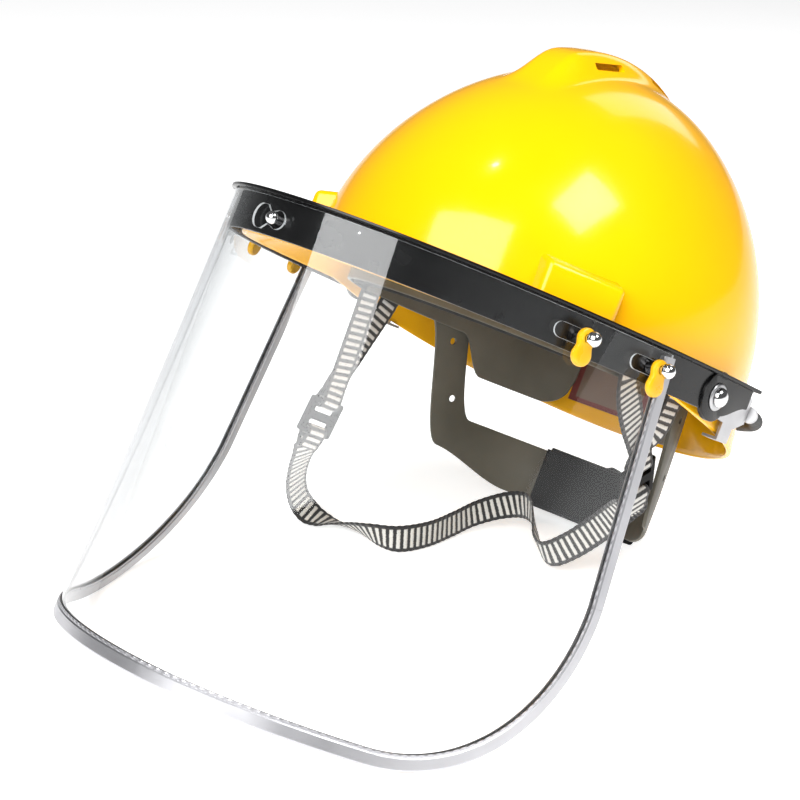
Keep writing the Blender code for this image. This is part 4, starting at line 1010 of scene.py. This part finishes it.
# ---------------------------------------------------------------- chin strap (world space)
MAIN_STRAP = (  # centre of the webbing in millimetres, then the direction across it
    (-86.6, 7.6, 54.0, 0.10, 0.90, -0.40), (-90.6, 9.2, 46.0, 0.08, 0.98, -0.10),
    (-96.0, 12.0, 38.0, 0.05, 1.00, 0.05), (-102.0, 16.0, 25.5, 0.00, 1.00, 0.15),
    (-104.5, 21.0, 13.5, 0.00, 0.95, 0.30), (-100.5, 25.5, 5.2, 0.10, 0.95, 0.22),
    (-92.0, 28.0, 2.8, 0.10, 1.00, 0.00), (-83.0, 29.2, 3.8, 0.00, 0.90, -0.30),
    (-72.0, 29.5, 5.4, 0.10, 0.75, -0.60), (-57.0, 28.8, 7.4, 0.20, 0.40, -0.88),
    (-44.5, 34.0, 7.8, 0.10, 0.10, -1.00), (-39.0, 50.0, 7.8, 0.00, 0.00, -1.00),
    (-38.5, 68.0, 8.4, 0.00, 0.00, -1.00), (-37.0, 83.0, 10.5, 0.00, 0.00, -1.00),
    (-30.0, 94.0, 14.0, 0.00, 0.00, -1.00), (-20.0, 98.0, 17.5, 0.00, 0.00, -1.00),
    (-10.0, 95.0, 19.0, 0.00, 0.10, -1.00), (0.0, 87.5, 15.5, 0.10, 0.30, -0.90),
    (9.5, 79.0, 10.2, 0.25, 0.35, -0.90), (19.0, 76.5, 10.0, 0.45, 0.25, -0.85),
    (29.0, 80.5, 17.0, 0.62, 0.12, -0.76), (39.5, 84.0, 27.5, 0.64, 0.11, -0.76),
    (49.5, 83.5, 38.0, 0.60, 0.20, -0.74), (59.0, 80.0, 47.5, 0.45, 0.50, -0.65),
    (65.8, 75.2, 52.4, 0.25, 0.85, -0.40), (70.6, 70.4, 56.6, 0.00, 0.98, 0.15),
)
SLIDERS = {  # middle in millimetres, direction up the legs, direction across
    "left": ((73.0, 67.0, 70.0), (0.10, -0.15, 0.98), (0.0, 0.98, 0.15)),
    "right": ((-84.5, 14.0, 66.5), (0.10, 0.46, 0.88), (0.0, 0.88, -0.46)),
}
SLIDER_SIZE = (0.0240, 0.0190, 0.0034)
LEGS = {  # top of each leg beside the headband, the point just below its edge, and the layer
    "left_front": ((78.9, 48.9, 138.4), (78.9, 43.1, 126.7), -1),
    "left_rear": ((80.8, 83.8, 121.1), (80.8, 78.0, 109.4), 1),
    "right_front": ((-78.9, 45.3, 140.1), (-78.9, 39.5, 128.5), -1),
    "right_rear": ((-79.8, 60.5, 132.6), (-79.8, 54.8, 120.9), 1),
}
ACROSS_HAT = (0.0, cos(TILT), -sin(TILT))


def web_frames(route, per_span):
    """Centre, unit width direction, unit normal and length so far along a strap."""
    line = smooth_route([r[:3] for r in route], per_span)
    across = smooth_route([r[3:] for r in route], per_span)
    frames = []
    length = 0.0
    for i, (place, width) in enumerate(zip(line, across)):
        if i:
            length += np.linalg.norm(place - line[i - 1])
        along = line[min(i + 1, len(line) - 1)] - line[max(i - 1, 0)]
        along /= np.linalg.norm(along)
        width = width - along * float(np.dot(width, along))
        width /= np.linalg.norm(width)
        frames.append((place, width, np.cross(along, width), length))
    return frames


def ribbon(name, route, per_span):
    """Elastic webbing: soft round selvedges, a slight belly and a ripple from its cross bars."""
    frames = web_frames(route, per_span)
    sections, alongs, acrosses = [], [], []
    for place, width, normal, length in frames:
        ripple = 0.00007 * sin(2 * pi * length / STRIPE_PITCH)
        loop = []
        for t in np.linspace(0, 2 * pi, 20, endpoint=False):
            u = copysign(abs(cos(t)) ** 0.45, cos(t))
            w = copysign(abs(sin(t)) ** 0.60, sin(t))
            edge = 1.12 if abs(u) > 0.86 else 0.92
            loop.append(place + width * u * (WEB_WIDTH / 2 + ripple * 1.5)
                        + normal * w * (WEB_THICK / 2 * edge + ripple))
            alongs.append(length)
            acrosses.append(u)
        sections.append(loop)
    obj = loft(name, sections, "web", {"along": alongs, "across": acrosses}, in_world=True, angle=70)
    return obj, frames


def stitches(name, frames, body, start, end, rows, side=1.0):
    """Rows of sewing thread across a stretch of strap, each stitch a short raised bar."""
    verts = []
    faces = []
    chosen = [f for f in frames if start <= f[3] <= end]
    for u in rows:
        for k in range(0, len(chosen) - 2, 3):
            place, width, normal, _ = chosen[k]
            far, far_width, far_normal, _ = chosen[k + 2]
            first = len(verts)
            for at, w, n in ((place, width, normal), (far, far_width, far_normal)):
                middle = at + w * u + n * side * (WEB_THICK / 2)
                for a in np.linspace(0, 2 * pi, 6, endpoint=False):
                    verts.append(middle + (w * cos(a) + n * sin(a)) * 0.00022)
            faces += [(first + j, first + (j + 1) % 6, first + 6 + (j + 1) % 6, first + 6 + j) for j in range(6)]
            faces.append(tuple(first + j for j in range(6)))
            faces.append(tuple(first + 6 + j for j in range(6)))
    return keep(piece(name, verts, faces, "thread", in_world=True), body)


def slider_axes(word):
    middle, up, across = (Vector(v) for v in SLIDERS[word])
    up.normalize()
    across = (across - up * across.dot(up)).normalized()
    return middle * MM, up, across, across.cross(up)


def chin_strap():
    route = [(x * MM, y * MM, z * MM, *w) for x, y, z, *w in MAIN_STRAP]
    strap, frames = ribbon("chin_webbing", route, 30)
    keep(strap, "hat", "chin_strap")
    lap = [f for f in frames if 0.268 <= f[3] <= 0.292]
    seam = stitches("chin_seam", frames, "hat", lap[0][3], lap[-1][3], (-0.0050, -0.0020, 0.0020, 0.0050))
    for word in SLIDERS:
        slider(word)
    for word, (top, edge, layer) in LEGS.items():
        side = word.split("_")[0]
        middle, up, across, _ = slider_axes(side)
        away = 1 if side == "left" else -1
        end = middle + up * (SLIDER_SIZE[1] / 2 + 0.0022) + Vector((away * layer * 0.0009, 0, 0))
        edge = Vector(edge) * MM
        knee = edge.lerp(end, 0.5) + Vector((away * layer * 0.0005, 0, 0))
        across = Vector(SLIDERS[side][2])
        route = [(*(Vector(top) * MM), *ACROSS_HAT), (*edge, *ACROSS_HAT), (*knee, *ACROSS_HAT),
                 (*(end + up * 0.006), *across), (*end, *across)]
        leg, frames = ribbon("strap_leg_" + word, route, 24)
        keep(leg, "hat", "chin_leg_" + word)
        seam = stitches("leg_seam_" + word, frames, "hat", 0.004, 0.012, (-0.0045, 0.0, 0.0045), away)


def slider(word):
    """Three-bar slide, with the webbing folded round its upper and lower bars."""
    middle, up, across, out = slider_axes(word)
    wide, tall, thick = SLIDER_SIZE
    turn = Matrix((across, up, out)).transposed()
    obj = block("strap_slide_" + word, (wide, tall, thick), middle, "black", turn, in_world=True)
    bevel(obj, 0.0012, 4)
    apply_modifiers(obj)
    tools = []
    for sign in (-1, 1):
        tool = block("window", (wide - 0.0075, 0.0046, thick * 3), middle + up * sign * 0.0045, "black", turn,
                     in_world=True)
        bevel(tool, 0.0008, 3)
        tools.append(apply_modifiers(tool))
    cut(obj, tools)
    keep(obj, "hat", "chin_slider_" + word)
    for sign, end in ((1, "upper"), (-1, "lower")):
        loop = []
        for along, lift in ((0.0170, -0.0004), (0.0120, -0.0020), (0.0085, -0.0026), (0.0062, -0.0022), (0.0048, 0.0),
                            (0.0062, 0.0022), (0.0085, 0.0026), (0.0120, 0.0020), (0.0170, 0.0010)):
            place = middle + up * sign * along + out * lift
            loop.append((*place, *across))
        fold, frames = ribbon(f"strap_fold_{word}_{end}", loop, 10)
        keep(fold, "hat")


# ---------------------------------------------------------------- surroundings
def area_light(name, azimuth, elevation, distance, size, radiance, aim=(0.0, 0.02, 0.12), tone=(1, 1, 1)):
    """Soft box seen from the hat at a compass bearing from +Y towards +X, facing it."""
    a, e = radians(azimuth), radians(elevation)
    away = Vector((sin(a) * cos(e), cos(a) * cos(e), sin(e)))
    data = bpy.data.lights.new(name, "AREA")
    data.shape = "RECTANGLE"
    data.size, data.size_y = size
    data.energy = radiance * size[0] * size[1] * pi
    data.color = tone
    obj = bpy.data.objects.new(name, data)
    bpy.context.scene.collection.objects.link(obj)
    obj.location = Vector(aim) + away * distance
    obj.rotation_euler = away.to_track_quat("Z", "Y").to_euler()
    return obj


def surroundings():
    floor, tree, shader = new_material("white_surface", (0.92, 0.92, 0.92), 0.7)
    tint(tree, shader, noise(tree, 3.0), (0.91, 0.91, 0.91), (0.93, 0.93, 0.93))
    shader.inputs["Emission Color"].default_value = (1.0, 1.0, 1.0, 1.0)
    shader.inputs["Emission Strength"].default_value = FLOOR_GLOW
    mesh = bpy.data.meshes.new("floor")
    mesh.from_pydata([(-20, -20, 0), (20, -20, 0), (20, 20, 0), (-20, 20, 0)], [], [(0, 1, 2, 3)])
    mesh.materials.append(floor)
    obj = bpy.data.objects.new("floor", mesh)
    bpy.context.scene.collection.objects.link(obj)
    world = bpy.data.worlds.new("studio")
    world.use_nodes = True
    background = world.node_tree.nodes["Background"]
    background.inputs["Color"].default_value = (0.98, 0.99, 1.0, 1.0)
    background.inputs["Strength"].default_value = WORLD
    bpy.context.scene.world = world
    area_light("key_box", 162, 40, 1.6, (1.30, 1.20), KEY)
    area_light("window", 70, 52, 1.6, (0.62, 0.50), 14.0)
    area_light("back_wall", -12, 30, 2.2, (0.5, 1.2), 1.6)
    area_light("top_spot", 210, 84, 1.5, (0.06, 0.06), 60.0)
    bpy.context.scene.view_settings.view_transform = "Standard"


def camera():
    data = bpy.data.cameras.new("view")
    data.sensor_width = 36.0
    data.lens = 83.83
    obj = bpy.data.objects.new("view", data)
    bpy.context.scene.collection.objects.link(obj)
    obj.location = (0.5330, -0.6034, 0.4011)
    obj.rotation_euler = (radians(69.652), radians(-3.279), radians(43.638))
    bpy.context.scene.camera = obj


camera()
surroundings()
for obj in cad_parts.values():
    obj.data.materials.clear()
    look = "black" if "adjuster" in obj.name else "zinc"
    obj.data.materials.append(M[look])
shell()
bracket_band()
shield()
edge_trim()
studs_and_tabs()
pivots()
rear_spring()
headband()
nape_straps()
ratchet()
cradle()
sweatband()
label()
chin_strap()
